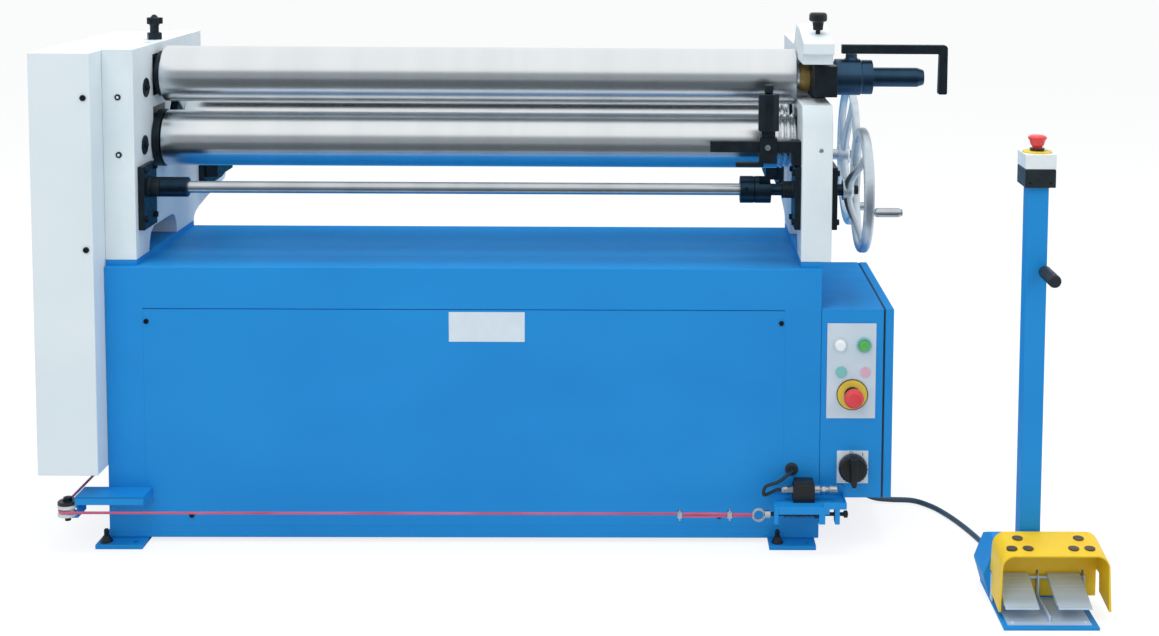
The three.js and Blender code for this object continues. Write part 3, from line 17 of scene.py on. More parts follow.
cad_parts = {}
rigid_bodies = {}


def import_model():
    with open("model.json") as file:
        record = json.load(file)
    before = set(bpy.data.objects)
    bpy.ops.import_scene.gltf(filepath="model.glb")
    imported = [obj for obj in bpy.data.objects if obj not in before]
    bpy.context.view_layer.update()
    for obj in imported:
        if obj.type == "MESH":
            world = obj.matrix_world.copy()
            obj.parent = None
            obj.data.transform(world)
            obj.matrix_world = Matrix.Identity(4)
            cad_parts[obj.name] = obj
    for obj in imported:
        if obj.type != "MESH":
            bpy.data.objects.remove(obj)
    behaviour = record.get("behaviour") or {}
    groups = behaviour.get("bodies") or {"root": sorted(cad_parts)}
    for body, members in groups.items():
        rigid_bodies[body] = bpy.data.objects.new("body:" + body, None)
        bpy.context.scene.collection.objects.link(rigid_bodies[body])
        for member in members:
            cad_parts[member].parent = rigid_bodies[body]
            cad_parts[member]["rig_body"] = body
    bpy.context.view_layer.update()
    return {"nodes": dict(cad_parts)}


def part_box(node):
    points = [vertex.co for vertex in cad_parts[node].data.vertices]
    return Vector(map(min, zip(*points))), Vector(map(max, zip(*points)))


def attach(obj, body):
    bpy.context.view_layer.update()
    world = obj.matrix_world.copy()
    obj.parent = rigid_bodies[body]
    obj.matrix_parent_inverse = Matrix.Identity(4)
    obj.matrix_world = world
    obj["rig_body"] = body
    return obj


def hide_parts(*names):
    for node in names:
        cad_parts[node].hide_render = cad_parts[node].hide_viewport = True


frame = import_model()
log = logging.getLogger("slip_roll")

MM = 0.001
CORNER_MM = Vector((941.5, 160.5, 0.0))
FACE = 0.3  # millimetres between two pieces that lie on each other
EDGE_DEGREES = 25.0  # edges that turn more than this are rounded
SMOOTH_DEGREES = 34.0  # edges that turn less than this are shaded as one surface
CORNER_DEGREES = 28.0  # the same two for pieces that keep the CAD's shape
FLAT_DEGREES = 0.5
ROUND = 0.6  # the roundness of an eased edge
WELD_M = 1e-6
LARGE_FACE_WEIGHT = 80
PAINT_IOR = 1.48
PLASTIC_IOR = 1.5
GRAIN_LOW, GRAIN_HIGH = 0.3, 0.7  # where a noise pattern's values nearly all lie
METRE_MM = 1000
TURN = 6.283  # a wave pattern's own length

Pair = tuple[float, float]
Triple = tuple[float, float, float]


def place(x: float, y: float, z: float) -> Vector:
    """Turns a point of the machine, in millimetres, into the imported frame.

    Args:
        x: Millimetres from the cabinet's left edge.
        y: Millimetres behind the cabinet's front face.
        z: Millimetres above the floor.

    Returns:
        The point in metres.
    """
    return (Vector((x, y, z)) - CORNER_MM) * MM


def linear(colour: str) -> tuple[float, float, float, float]:
    """Turns an sRGB hex colour into the linear one that a shader takes.

    Args:
        colour: Six hex digits after a hash.

    Returns:
        Linear red, green, blue and an alpha of 1.
    """
    parts = [int(colour[i:i + 2], 16) / 255 for i in (1, 3, 5)]
    curve = [c / 12.92 if c <= 0.04045 else ((c + 0.055) / 1.055) ** 2.4 for c in parts]
    return (*curve, 1.0)


def add_node(tree: bpy.types.NodeTree, kind: str, values: dict | None = None, links: dict | None = None,
             **settings: object) -> bpy.types.Node:
    """Adds a shader node.

    Args:
        tree: The node tree that it joins.
        kind: Blender's name of the node's type.
        values: Fixed values by socket name or number.
        links: Sockets that feed it, by socket name or number.
        **settings: The node's own properties.

    Returns:
        The new node.
    """
    node = tree.nodes.new(kind)
    for key, value in settings.items():
        setattr(node, key, value)
    for socket, value in (values or {}).items():
        node.inputs[socket].default_value = value
    for socket, source in (links or {}).items():
        tree.links.new(source, node.inputs[socket])
    return node


def blank_tree(owner: bpy.types.Material | bpy.types.World) -> bpy.types.NodeTree:
    """Gives a material or a world an empty node tree."""
    owner.use_nodes = True
    owner.node_tree.nodes.clear()
    return owner.node_tree


def put(name: str, data: bpy.types.ID) -> bpy.types.Object:
    """Makes an object of its data and links it to the scene."""
    thing = bpy.data.objects.new(name, data)
    bpy.context.scene.collection.objects.link(thing)
    return thing


class Axis(Enum):
    """The machine's axes, and how a turned or drawn shape lies along each."""

    X = "X"
    Y = "Y"
    Z = "Z"

    def lay(self, along: float, a: float, b: float) -> Triple:
        """Gives the machine's point that lies `along` the axis and at a, b of the plane across it."""
        if self is Axis.X:
            return (along, a, b)
        if self is Axis.Y:
            return (a, along, b)
        return (a, b, along)


# Finishes


@dataclass(frozen=True)
class Finish:
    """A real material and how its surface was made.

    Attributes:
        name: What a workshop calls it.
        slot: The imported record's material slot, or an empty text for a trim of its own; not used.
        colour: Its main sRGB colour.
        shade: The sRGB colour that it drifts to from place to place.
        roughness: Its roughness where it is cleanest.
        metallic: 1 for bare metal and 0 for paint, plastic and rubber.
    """

    name: str
    slot: str
    colour: str
    shade: str
    roughness: float
    metallic: float = 0.0

    def material(self) -> bpy.types.Material:
        """Gives the finish's Blender material, and makes it the first time."""
        found = bpy.data.materials.get(self.name)
        if found:
            return found
        material = bpy.data.materials.new(self.name)
        tree = blank_tree(material)
        values = {"Metallic": self.metallic, "Roughness": self.roughness}
        shader = add_node(tree, "ShaderNodeBsdfPrincipled", values)
        add_node(tree, "ShaderNodeOutputMaterial", links={"Surface": shader.outputs["BSDF"]})
        self.dress(tree, shader)
        return material

    def dress(self, tree: bpy.types.NodeTree, shader: bpy.types.Node) -> None:
        """Lays the finish's colour, grain and gloss; each kind of finish has its own."""
        raise NotImplementedError

    def grain(self, tree: bpy.types.NodeTree, size_mm: float, stretch: Triple = (1, 1, 1), detail: float = 2.0
              ) -> bpy.types.NodeSocket:
        """Adds a random grain whose bumps have a real size.

        Args:
            tree: The material's node tree.
            size_mm: The size of one bump, in millimetres.
            stretch: How many times longer the bumps are along each axis.
            detail: How much finer grain lies in each bump.

        Returns:
            The grain's height, from 0 to 1.
        """
        points = add_node(tree, "ShaderNodeTexCoord")
        scale = [METRE_MM / (size_mm * s) for s in stretch]
        fitted = add_node(tree, "ShaderNodeMapping", {"Scale": scale}, {"Vector": points.outputs["Object"]})
        noise = add_node(tree, "ShaderNodeTexNoise", {"Scale": 1.0, "Detail": detail},
                         {"Vector": fitted.outputs["Vector"]})
        return noise.outputs["Fac"]

    def drift(self, tree: bpy.types.NodeTree, shader: bpy.types.Node, height: bpy.types.NodeSocket) -> None:
        """Lets the colour drift between the finish's two colours with a grain's height."""
        limits = {"From Min": GRAIN_LOW, "From Max": GRAIN_HIGH}
        ramp = add_node(tree, "ShaderNodeMapRange", limits, {"Value": height})
        mix = add_node(tree, "ShaderNodeMix", {6: linear(self.colour), 7: linear(self.shade)},
                       {0: ramp.outputs["Result"]}, data_type="RGBA")
        tree.links.new(mix.outputs[2], shader.inputs["Base Color"])

    def gloss(self, tree: bpy.types.NodeTree, shader: bpy.types.Node, height: bpy.types.NodeSocket,
              spread: float) -> None:
        """Lets the roughness rise by `spread` with a grain's height."""
        limits = {"From Min": GRAIN_LOW, "From Max": GRAIN_HIGH, "To Min": self.roughness,
                  "To Max": self.roughness + spread}
        ramp = add_node(tree, "ShaderNodeMapRange", limits, {"Value": height})
        tree.links.new(ramp.outputs["Result"], shader.inputs["Roughness"])

    def relief(self, tree: bpy.types.NodeTree, shader: bpy.types.Node, height: bpy.types.NodeSocket,
               depth_mm: float) -> None:
        """Raises the grain by a real depth."""
        bump = add_node(tree, "ShaderNodeBump", {"Strength": 1.0, "Distance": depth_mm * MM},
                        {"Height": height})
        tree.links.new(bump.outputs["Normal"], shader.inputs["Normal"])


@dataclass(frozen=True)
class PowderCoat(Finish):
    """Polyester powder, sprayed on folded sheet and baked.

    The eye sees an even semi-gloss colour with a faint orange peel. The real peel is about 1.5 mm from bump
    to bump, which a whole view can't show, so it is drawn at 4 mm.
    """

    peel_mm: float = 4.0
    peel_depth_mm: float = 0.012
    sheen: float = 0.22

    def dress(self, tree: bpy.types.NodeTree, shader: bpy.types.Node) -> None:
        """Lays the even colour, the soft clouds in it and the orange peel."""
        shader.inputs["IOR"].default_value = PAINT_IOR
        shader.inputs["Specular IOR Level"].default_value = self.sheen
        self.drift(tree, shader, self.grain(tree, 260.0, (1.6, 1, 1)))
        self.gloss(tree, shader, self.grain(tree, 70.0), 0.08)
        self.relief(tree, shader, self.grain(tree, self.peel_mm), self.peel_depth_mm)


@dataclass(frozen=True)
class CastPaint(Finish):
    """Filler and enamel on cast iron.

    The eye sees a pale semi-gloss skin that follows the sand casting's slow waves, about 25 mm long, with a
    fine stipple of 2.5 mm where the coat was thick.
    """

    def dress(self, tree: bpy.types.NodeTree, shader: bpy.types.Node) -> None:
        """Lays the pale colour, the casting's waves and the stipple."""
        shader.inputs["IOR"].default_value = PAINT_IOR
        self.drift(tree, shader, self.grain(tree, 120.0, detail=4.0))
        self.gloss(tree, shader, self.grain(tree, 30.0), 0.1)
        waves = self.grain(tree, 25.0, detail=1.0)
        stipple = self.grain(tree, 2.5, detail=1.0)
        both = add_node(tree, "ShaderNodeMath", {1: 0.12}, {0: stipple, 2: waves}, operation="MULTIPLY_ADD")
        self.relief(tree, shader, both.outputs[0], 0.09)


@dataclass(frozen=True)
class GroundSteel(Finish):
    """Carbon steel, ground round its axis and polished.

    The eye sees a soft mirror, brighter and duller in rings across the axis. The grinding marks are under
    0.1 mm apart, so the rings are drawn at ring_mm, 1.4 mm on the rolls.
    """

    across: Triple = (1, 60, 60)
    ring_mm: float = 1.4

    def dress(self, tree: bpy.types.NodeTree, shader: bpy.types.Node) -> None:
        """Lays the steel's tone, the grinding rings and the slow drift of the polish."""
        self.drift(tree, shader, self.grain(tree, 60.0, self.across, detail=2.0))
        rings = self.grain(tree, self.ring_mm, self.across, detail=2.0)
        clouds = self.grain(tree, 90.0, (2.5, 1, 1))
        both = add_node(tree, "ShaderNodeMath", {1: 0.5}, {0: rings, 2: clouds}, operation="MULTIPLY_ADD")
        self.gloss(tree, shader, both.outputs[0], 0.045)
        self.relief(tree, shader, rings, 0.0002)


@dataclass(frozen=True)
class BlackOxide(Finish):
    """Machined steel, blackened in a hot salt bath and oiled.

    The eye sees a blue-black skin with a dull sheen, lighter where the oil has dried. The machining marks of
    about 0.3 mm are drawn at 1.8 mm.
    """

    def dress(self, tree: bpy.types.NodeTree, shader: bpy.types.Node) -> None:
        """Lays the blue-black tone, the patches of oil and the machining marks."""
        self.drift(tree, shader, self.grain(tree, 22.0, detail=5.0))
        self.gloss(tree, shader, self.grain(tree, 9.0, detail=4.0), 0.2)
        self.relief(tree, shader, self.grain(tree, 1.8, (6, 1, 1)), 0.006)


@dataclass(frozen=True)
class CastMetal(Finish):
    """Sand-cast aluminium or a machined bush, filed and polished by hand.

    The eye sees a bright metal with cloudy gloss. Its pores and polishing marks, under 0.5 mm in fact, are
    drawn at 1.6 mm, and the casting's own waves are about 14 mm long.
    """

    wave_depth_mm: float = 0.03

    def dress(self, tree: bpy.types.NodeTree, shader: bpy.types.Node) -> None:
        """Lays the metal's tone, the clouds of the polish and the pores."""
        self.drift(tree, shader, self.grain(tree, 26.0, detail=4.0))
        self.gloss(tree, shader, self.grain(tree, 11.0, detail=5.0), 0.16)
        waves = self.grain(tree, 14.0, detail=1.0)
        pores = self.grain(tree, 1.6, detail=2.0)
        both = add_node(tree, "ShaderNodeMath", {1: 0.08}, {0: pores, 2: waves}, operation="MULTIPLY_ADD")
        self.relief(tree, shader, both.outputs[0], self.wave_depth_mm)


@dataclass(frozen=True)
class RolledSheet(Finish):
    """Rolled sheet, zinc plated and dulled.

    The eye sees a pale satin skin with straight streaks along the way that it was rolled. The lines are about
    0.2 mm apart and are drawn at 1.2 mm.
    """

    along: Triple = (40, 1, 40)

    def dress(self, tree: bpy.types.NodeTree, shader: bpy.types.Node) -> None:
        """Lays the metal's tone, the rolling streaks and the dull patches."""
        self.drift(tree, shader, self.grain(tree, 5.0, self.along, detail=3.0))
        self.gloss(tree, shader, self.grain(tree, 18.0, detail=3.0), 0.14)
        self.relief(tree, shader, self.grain(tree, 1.2, self.along), 0.004)


@dataclass(frozen=True)
class Moulding(Finish):
    """A plastic or rubber moulding with a spark-eroded skin.

    The eye sees an even colour with a fine dull grain. The grain is about 0.15 mm and is drawn at grain_mm.
    """

    grain_mm: float = 1.0
    grain_depth_mm: float = 0.012

    def dress(self, tree: bpy.types.NodeTree, shader: bpy.types.Node) -> None:
        """Lays the colour, the sheen's clouds and the skin's grain."""
        shader.inputs["IOR"].default_value = PLASTIC_IOR
        self.drift(tree, shader, self.grain(tree, 45.0, detail=2.0))
        self.gloss(tree, shader, self.grain(tree, 16.0, detail=3.0), 0.1)
        self.relief(tree, shader, self.grain(tree, self.grain_mm), self.grain_depth_mm)


@dataclass(frozen=True)
class LaidSheath(Finish):
    """A plastic sheath drawn over a wire rope or a cable.

    The eye sees the strands under the skin as slanting ridges, every lay_mm along it.
    """

    lay_mm: float = 7.0

    def dress(self, tree: bpy.types.NodeTree, shader: bpy.types.Node) -> None:
        """Lays the sheath's colour and the slanting ridges of the strands."""
        shader.inputs["IOR"].default_value = PLASTIC_IOR
        self.drift(tree, shader, self.grain(tree, 30.0, (3, 1, 1)))
        self.gloss(tree, shader, self.grain(tree, 6.0), 0.12)
        points = add_node(tree, "ShaderNodeTexCoord")
        lay = add_node(tree, "ShaderNodeTexWave", {"Scale": METRE_MM / self.lay_mm / TURN, "Distortion": 0.4},
                       {"Vector": points.outputs["Object"]}, wave_type="BANDS", bands_direction="DIAGONAL")
        self.relief(tree, shader, lay.outputs["Fac"], 0.12)


BLUE = PowderCoat("powder_coat_blue", "blue_paint", "#1b88d2", "#1f8fd8", 0.42)
WHITE = CastPaint("enamel_white_casting", "white_paint", "#e1ecf1", "#d6e3e9", 0.36)
WHITE_SHEET = PowderCoat("powder_coat_white", "white_paint", "#e1ecf1", "#d8e5eb", 0.42)
MOTOR = CastPaint("enamel_grey_motor", "motor_paint", "#6d7479", "#5f666b", 0.42)
ROLL_STEEL = GroundSteel("ground_roll_steel", "ground_steel", "#e9edf0", "#e2e7ea", 0.21, 1.0)
SHAFT_STEEL = GroundSteel("ground_shaft_steel", "ground_steel", "#cfd5d9", "#c0c7cc", 0.26, 1.0, ring_mm=1.0)
GEAR_STEEL = GroundSteel("hobbed_gear_steel", "gear_steel", "#9aa1a6", "#7f878c", 0.34, 1.0, (1, 4, 4), 2.0)
SLEEVE_STEEL = GroundSteel("turned_blued_steel", "black_oxide", "#3d5a74", "#314b62", 0.3, 1.0, ring_mm=1.0)
COLLAR_STEEL = GroundSteel("turned_black_steel", "black_oxide", "#2b4152", "#223544", 0.32, 1.0, ring_mm=1.0)
BLACK_STEEL = BlackOxide("black_oxide_steel", "black_oxide", "#22303a", "#18222a", 0.36, 0.6)
SCREW_STEEL = BlackOxide("black_oxide_screws", "black_oxide", "#1f2a33", "#161e25", 0.38, 0.5)
ALUMINIUM = CastMetal("polished_cast_aluminium", "cast_aluminium", "#dbe5ec", "#c9d6df", 0.36, 1.0, 0.012)
BRONZE = CastMetal("turned_bronze", "", "#d6b878", "#bd9c60", 0.36, 1.0, 0.004)
ZINC = RolledSheet("zinc_plated_sheet", "zinc_plate", "#c6dcf2", "#b6cde6", 0.4, 0.2)
ZINC_FITTING = CastMetal("zinc_plated_fittings", "gear_steel", "#cdd3d6", "#a9b1b6", 0.26, 1.0, 0.006)
PLATE = Moulding("printed_film_panel", "control_plate", "#cddbe6", "#c4d3df", 0.4, 0.0, 2.0, 0.003)
LABEL = Moulding("printed_film_label", "", "#dbe8f1", "#d2e0ea", 0.38, 0.0, 2.0, 0.003)
BLACK_PLASTIC = Moulding("abs_black", "black_plastic", "#0e1114", "#15191d", 0.32)
BLACK_RUBBER = Moulding("rubber_black", "black_plastic", "#222c34", "#1a232a", 0.5, grain_mm=1.8)
GREY_PLASTIC = Moulding("nylon_white", "", "#d5dbdf", "#c3cace", 0.34)
YELLOW = Moulding("abs_yellow", "yellow_guard", "#efc417", "#f0cc20", 0.36, grain_mm=1.4)
YELLOW_DISC = Moulding("printed_disc_yellow", "yellow_guard", "#e6cd4c", "#dcc03e", 0.4)
PLUG = Moulding("rubber_plug_brown", "", "#5c5142", "#453d33", 0.6)
RED = Moulding("pc_red", "red_plastic", "#d83a42", "#e04a50", 0.28)
GREEN = Moulding("pc_green", "green_plastic", "#52ab52", "#66bd60", 0.26)
TEAL = Moulding("pc_teal", "", "#69b3b4", "#7dc3c2", 0.36)
PINK = Moulding("printed_disc_pink", "", "#dcaabf", "#d5c0d2", 0.4)
LAMP = Moulding("pc_clear_lamp", "", "#f1f7f9", "#e2edf2", 0.16)
BOX_WHITE = Moulding("abs_white", "white_paint", "#e4edf1", "#dae4e9", 0.3)
BOX_BLACK = Moulding("abs_grey_black", "", "#1f2c32", "#182227", 0.34)
WIRE = LaidSheath("pvc_sheath_pink", "wire_sheath", "#b8486a", "#c8668a", 0.36)
CABLE = LaidSheath("rubber_cable_sheath", "cable_sheath", "#465a67", "#3a4c58", 0.42, lay_mm=26.0)


# Building meshes


def fillet(profile: Sequence[Pair], radius: float, steps: int = 3) -> list[Pair]:
    """Rounds the inner corners of a profile.

    Args:
        profile: Points of an open line.
        radius: How far each corner is cut back, at most 0.45 of a side.
        steps: Segments in each rounded corner.

    Returns:
        The line with its corners rounded.
    """
    out = [profile[0]]
    for before, corner, after in zip(profile, profile[1:], profile[2:]):
        a, c, b = Vector(before), Vector(corner), Vector(after)
        cut_a = min(radius, 0.45 * (a - c).length)
        cut_b = min(radius, 0.45 * (b - c).length)
        start, end = c + (a - c).normalized() * cut_a, c + (b - c).normalized() * cut_b
        for i in range(steps + 1):
            t = i / steps
            point = start * (1 - t) ** 2 + c * 2 * t * (1 - t) + end * t * t
            out.append((point.x, point.y))
    return [*out, profile[-1]]


def arc(centre: Pair, radius: float, start: float, end: float, steps: int) -> list[Pair]:
    """Gives points of an arc in a plane.

    Args:
        centre: The arc's centre.
        radius: Its radius.
        start: Its first angle, in degrees.
        end: Its last angle, in degrees.
        steps: The number of segments.

    Returns:
        The points, ends included.
    """
    angles = [math.radians(start + (end - start) * i / steps) for i in range(steps + 1)]
    return [(centre[0] + radius * math.cos(a), centre[1] + radius * math.sin(a)) for a in angles]


def bar_profile(radius: float, low: float, high: float) -> list[Pair]:
    """Gives the profile of a turned disc or bar between two places on its axis."""
    return [(0, low), (radius, low), (radius, high), (0, high)]


def ring_profile(inner: float, outer: float, low: float, high: float) -> list[Pair]:
    """Gives the closed profile of a turned ring between two places on its axis."""
    return [(inner, low), (outer, low), (outer, high), (inner, high), (inner, low)]


def around(centre: Pair, radius: float, count: int, first: float = 0.0) -> list[Pair]:
    """Gives points evenly round a centre, the first of them at `first` degrees."""
    turns = [math.radians(first) + 2 * math.pi * i / count for i in range(count)]
    return [(centre[0] + radius * math.cos(t), centre[1] + radius * math.sin(t)) for t in turns]


def bridge(part: bmesh.types.BMesh, rings: Sequence[Sequence[bmesh.types.BMVert]],
           closed: bool = False) -> None:
    """Joins rings of points with faces.

    Args:
        part: The mesh that the points are in.
        rings: The rings, with as many points each.
        closed: Whether the last ring joins the first; if not, both are capped.
    """
    if not closed:
        part.faces.new(rings[0])
        part.faces.new(list(reversed(rings[-1])))
    for low, high in zip(rings, [*rings[1:], rings[0]] if closed else rings[1:]):
        for k, point in enumerate(low):
            after = (k + 1) % len(low)
            part.faces.new([point, low[after], high[after], high[k]])


def route_of(points: Sequence[Triple], per_span: int = 6) -> list[Vector]:
    """Draws one smooth curve through a route's points, as the CAD solid of the cord does.

    Args:
        points: The route, in millimetres.
        per_span: Steps between two points.

    Returns:
        Points of a centripetal Catmull-Rom curve.
    """
    knots = [Vector(p) for p in points]
    knots = [2 * knots[0] - knots[1], *knots, 2 * knots[-1] - knots[-2]]
    out = []
    for p0, p1, p2, p3 in zip(knots, knots[1:], knots[2:], knots[3:]):
        d0, d1, d2 = [max((b - a).length ** 0.5, 1e-6) for a, b in ((p0, p1), (p1, p2), (p2, p3))]
        t1 = ((p1 - p0) / d0 - (p2 - p0) / (d0 + d1) + (p2 - p1) / d1) * d1
        t2 = ((p2 - p1) / d1 - (p3 - p1) / (d1 + d2) + (p3 - p2) / d2) * d1
        for i in range(per_span):
            t = i / per_span
            out.append(p1 * (2 * t ** 3 - 3 * t ** 2 + 1) + t1 * (t ** 3 - 2 * t ** 2 + t)
                       + p2 * (3 * t ** 2 - 2 * t ** 3) + t2 * (t ** 3 - t ** 2))
    return [*out, Vector(points[-1])]


class Solid:
    """A closed mesh in the making, in millimetres of the machine."""

    def __init__(self) -> None:
        """Starts with nothing in it."""
        self.mesh = bmesh.new()

    def add(self, part: bmesh.types.BMesh, edge: float = 0.0, steps: int = 2) -> "Solid":
        """Adds a finished shape with its sharp edges rounded.

        Args:
            part: The shape, which is used up.
            edge: How wide the rounding is.
            steps: Segments across the rounding.

        Returns:
            The solid itself.
        """
        bmesh.ops.recalc_face_normals(part, faces=part.faces)
        if edge:
            sharp = [e for e in part.edges
                     if len(e.link_faces) == 2 and e.calc_face_angle() > math.radians(EDGE_DEGREES)]
            bmesh.ops.bevel(part, geom=sharp, offset=edge, segments=steps, profile=ROUND,
                            affect="EDGES", clamp_overlap=True)
        carrier = bpy.data.meshes.new("carrier")
        part.to_mesh(carrier)
        part.free()
        self.mesh.from_mesh(carrier)
        bpy.data.meshes.remove(carrier)
        return self

    def box(self, x: Pair, y: Pair, z: Pair, edge: float = 0.0, steps: int = 2) -> "Solid":
        """Adds a block between three pairs of planes."""
        corners = [(x[0], z[0]), (x[1], z[0]), (x[1], z[1]), (x[0], z[1])]
        return self.prism(Axis.Y, corners, y, edge, steps)

    def prism(self, axis: Axis, outline: Sequence[Pair], span: Pair, edge: float = 0.0, steps: int = 2,
              lift: float = 0.0) -> "Solid":
        """Adds an outline drawn along an axis.

        Args:
            axis: The axis that it is drawn along.
            outline: The outline's points, in the plane across the axis.
            span: Where it starts and ends.
            edge: How wide the rounding of its edges is.
            steps: Segments across the rounding.
            lift: How much the second number of each point rises for each millimetre along the axis.

        Returns:
            The solid itself.
        """
        part = bmesh.new()
        ends = []
        for along in span:
            rise = lift * (along - span[0])
            ends.append([part.verts.new(axis.lay(along, a, b + rise)) for a, b in outline])
        bridge(part, ends)
        return self.add(part, edge, steps)

    def turned(self, axis: Axis, profile: Sequence[Pair], a: float, b: float, sides: int = 64,
               ease: float = 0.0) -> "Solid":
        """Adds a turned shape.

        Args:
            axis: The axis that it turns about.
            profile: Points of radius and place along the axis; both ends lie on the axis, or they meet.
            a: The axis's first place in the plane across it.
            b: Its second place.
            sides: Facets round it.
            ease: How far its rims are rounded.

        Returns:
            The solid itself.
        """
        part = bmesh.new()
        closed = profile[0] == profile[-1] and profile[0][0] > 0
        eased = fillet(profile, ease) if ease else profile
        line = eased[:-1] if closed else eased
        rings: list[list[bmesh.types.BMVert]] = []
        for radius, along in line:
            if radius <= 0:
                rings.append([part.verts.new(axis.lay(along, a, b))])
                continue
            rings.append([part.verts.new(axis.lay(along, *point)) for point in around((a, b), radius, sides)])
        pairs = list(zip(rings, rings[1:])) + ([(rings[-1], rings[0])] if closed else [])
        for low, high in pairs:
            for i in range(sides):
                j = (i + 1) % sides
                corners = [low[i % len(low)], low[j % len(low)], high[j % len(high)], high[i % len(high)]]
                kept = list(dict.fromkeys(corners))
                if len(kept) > 2:
                    part.faces.new(kept)
        return self.add(part)

    def rod(self, axis: Axis, radius: float, span: Pair, a: float, b: float, edge: float = 0.6,
            sides: int = 48) -> "Solid":
        """Adds a round bar whose rims are eased by `edge`."""
        return self.turned(axis, fillet(bar_profile(radius, *span), edge), a, b, sides)

    def rods(self, axis: Axis, radius: float, span: Pair, places: Iterable[Pair], edge: float,
             sides: int) -> "Solid":
        """Adds like round bars at several places of the plane across the axis."""
        for a, b in places:
            self.rod(axis, radius, span, a, b, edge, sides)
        return self

    def tube(self, points: Sequence[Triple | Vector], radius: float, sides: int = 16,
             closed: bool = False) -> "Solid":
        """Adds a round wire along a path.

        Args:
            points: The points that it follows.
            radius: Its radius.
            sides: Facets round it.
            closed: Whether the path's end joins its start.

        Returns:
            The solid itself.
        """
        part = bmesh.new()
        path = [Vector(point) for point in points]
        count = len(path)
        tangents = []
        for i in range(count):
            ahead = path[(i + 1) % count] if closed else path[min(i + 1, count - 1)]
            behind = path[i - 1] if closed or i else path[0]
            tangents.append((ahead - behind).normalized())
        side = tangents[0].orthogonal().normalized()
        rings = []
        for middle, tangent in zip(path, tangents):
            side = (side - tangent * side.dot(tangent)).normalized()
            other = tangent.cross(side)
            rings.append([part.verts.new(middle + side * c + other * s)
                          for c, s in around((0, 0), radius, sides)])
        bridge(part, rings, closed)
        return self.add(part)

    def loft(self, sections: Sequence[Sequence[Triple]]) -> "Solid":
        """Adds a skin over sections that have as many points each, closed at its ends."""
        part = bmesh.new()
        bridge(part, [[part.verts.new(point) for point in section] for section in sections])
        return self.add(part)

    def turn(self, axis: Axis, degrees: float, centre: Triple) -> "Solid":
        """Turns everything so far about an axis through a point."""
        matrix = Matrix.Rotation(math.radians(degrees), 3, axis.value)
        bmesh.ops.rotate(self.mesh, cent=centre, matrix=matrix, verts=self.mesh.verts)
        return self

    def shape(self, name: str) -> bpy.types.Object:
        """Makes the mesh object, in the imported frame, with no finish yet."""
        for vert in self.mesh.verts:
            vert.co = place(*vert.co)
        mesh = bpy.data.meshes.new(name)
        self.mesh.to_mesh(mesh)
        self.mesh.free()
        return put(name, mesh)

    def piece(self, name: str, finish: Finish, node: str, smooth: float = SMOOTH_DEGREES) -> bpy.types.Object:
        """Makes the finished piece; dress() says what each value is."""
        return dress(self.shape(name), finish, node, smooth)

    def carved(self, name: str, cutters: Iterable["Solid"]) -> bpy.types.Object:
        """Makes the mesh object with other solids cut out of it.

        Args:
            name: The piece's name.
            cutters: The solids that are cut out.

        Returns:
            The object, with no finish yet.
        """
        thing = self.shape(name)
        tools = [cutter.shape(f"{name}_cut_{i}") for i, cutter in enumerate(cutters)]
        for tool in tools:
            thing.modifiers.new(tool.name, "BOOLEAN").object = tool
            thing.modifiers[-1].operation = "DIFFERENCE"
            thing.modifiers[-1].solver = "EXACT"
        bpy.context.view_layer.update()
        result = bpy.data.meshes.new_from_object(thing.evaluated_get(bpy.context.evaluated_depsgraph_get()))
        thing.modifiers.clear()
        plain, thing.data = thing.data, result
        bpy.data.meshes.remove(plain)
        for tool in tools:
            leftover = tool.data
            bpy.data.objects.remove(tool)
            bpy.data.meshes.remove(leftover)
        return thing


def dress(thing: bpy.types.Object, finish: Finish, node: str,
          smooth: float = SMOOTH_DEGREES) -> bpy.types.Object:
    """Gives a piece its finish and its place among the moving bodies.

    Args:
        thing: The piece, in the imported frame.
        finish: What it is made of.
        node: The CAD node that it stands for, whose body it rides on.
        smooth: Edges flatter than this angle, in degrees, are shaded as one surface.

    Returns:
        The piece.
    """
    mesh = thing.data
    mesh.materials.clear()
    mesh.materials.append(finish.material())
    for face in mesh.polygons:
        face.use_smooth = True
        face.material_index = 0
    mesh.set_sharp_from_angle(angle=math.radians(smooth))
    even = thing.modifiers.new("even_shading", "WEIGHTED_NORMAL")
    even.keep_sharp = True
    even.weight = LARGE_FACE_WEIGHT
    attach(thing, frame["nodes"][node]["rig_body"])
    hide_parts(node)
    log.info("%s: %s, for %s", thing.name, finish.name, node)
    return thing


def softened(node: str, name: str, finish: Finish, edge: float, shortest: float = 9.0) -> bpy.types.Object:
    """Makes a piece with the CAD node's own shape and eased edges.

    Args:
        node: The CAD node.
        name: The piece's name.
        finish: What it is made of.
        edge: How wide the easing is, in millimetres.
        shortest: Edges shorter than this, in millimetres, stay as they are.

    Returns:
        The piece.
    """
    shape = bmesh.new()
    shape.from_mesh(frame["nodes"][node].data)
    bmesh.ops.remove_doubles(shape, verts=shape.verts, dist=WELD_M)
    bmesh.ops.dissolve_limit(shape, angle_limit=math.radians(FLAT_DEGREES), verts=shape.verts,
                             edges=shape.edges)
    chosen = [e for e in shape.edges
              if len(e.link_faces) == 2 and e.is_convex and e.calc_face_angle() > math.radians(CORNER_DEGREES)
              and e.calc_length() > shortest * MM]
    bmesh.ops.bevel(shape, geom=chosen, offset=edge * MM, segments=3, profile=ROUND,
                    affect="EDGES", clamp_overlap=True)
    mesh = bpy.data.meshes.new(name)
    shape.to_mesh(mesh)
    shape.free()
    return dress(put(name, mesh), finish, node)


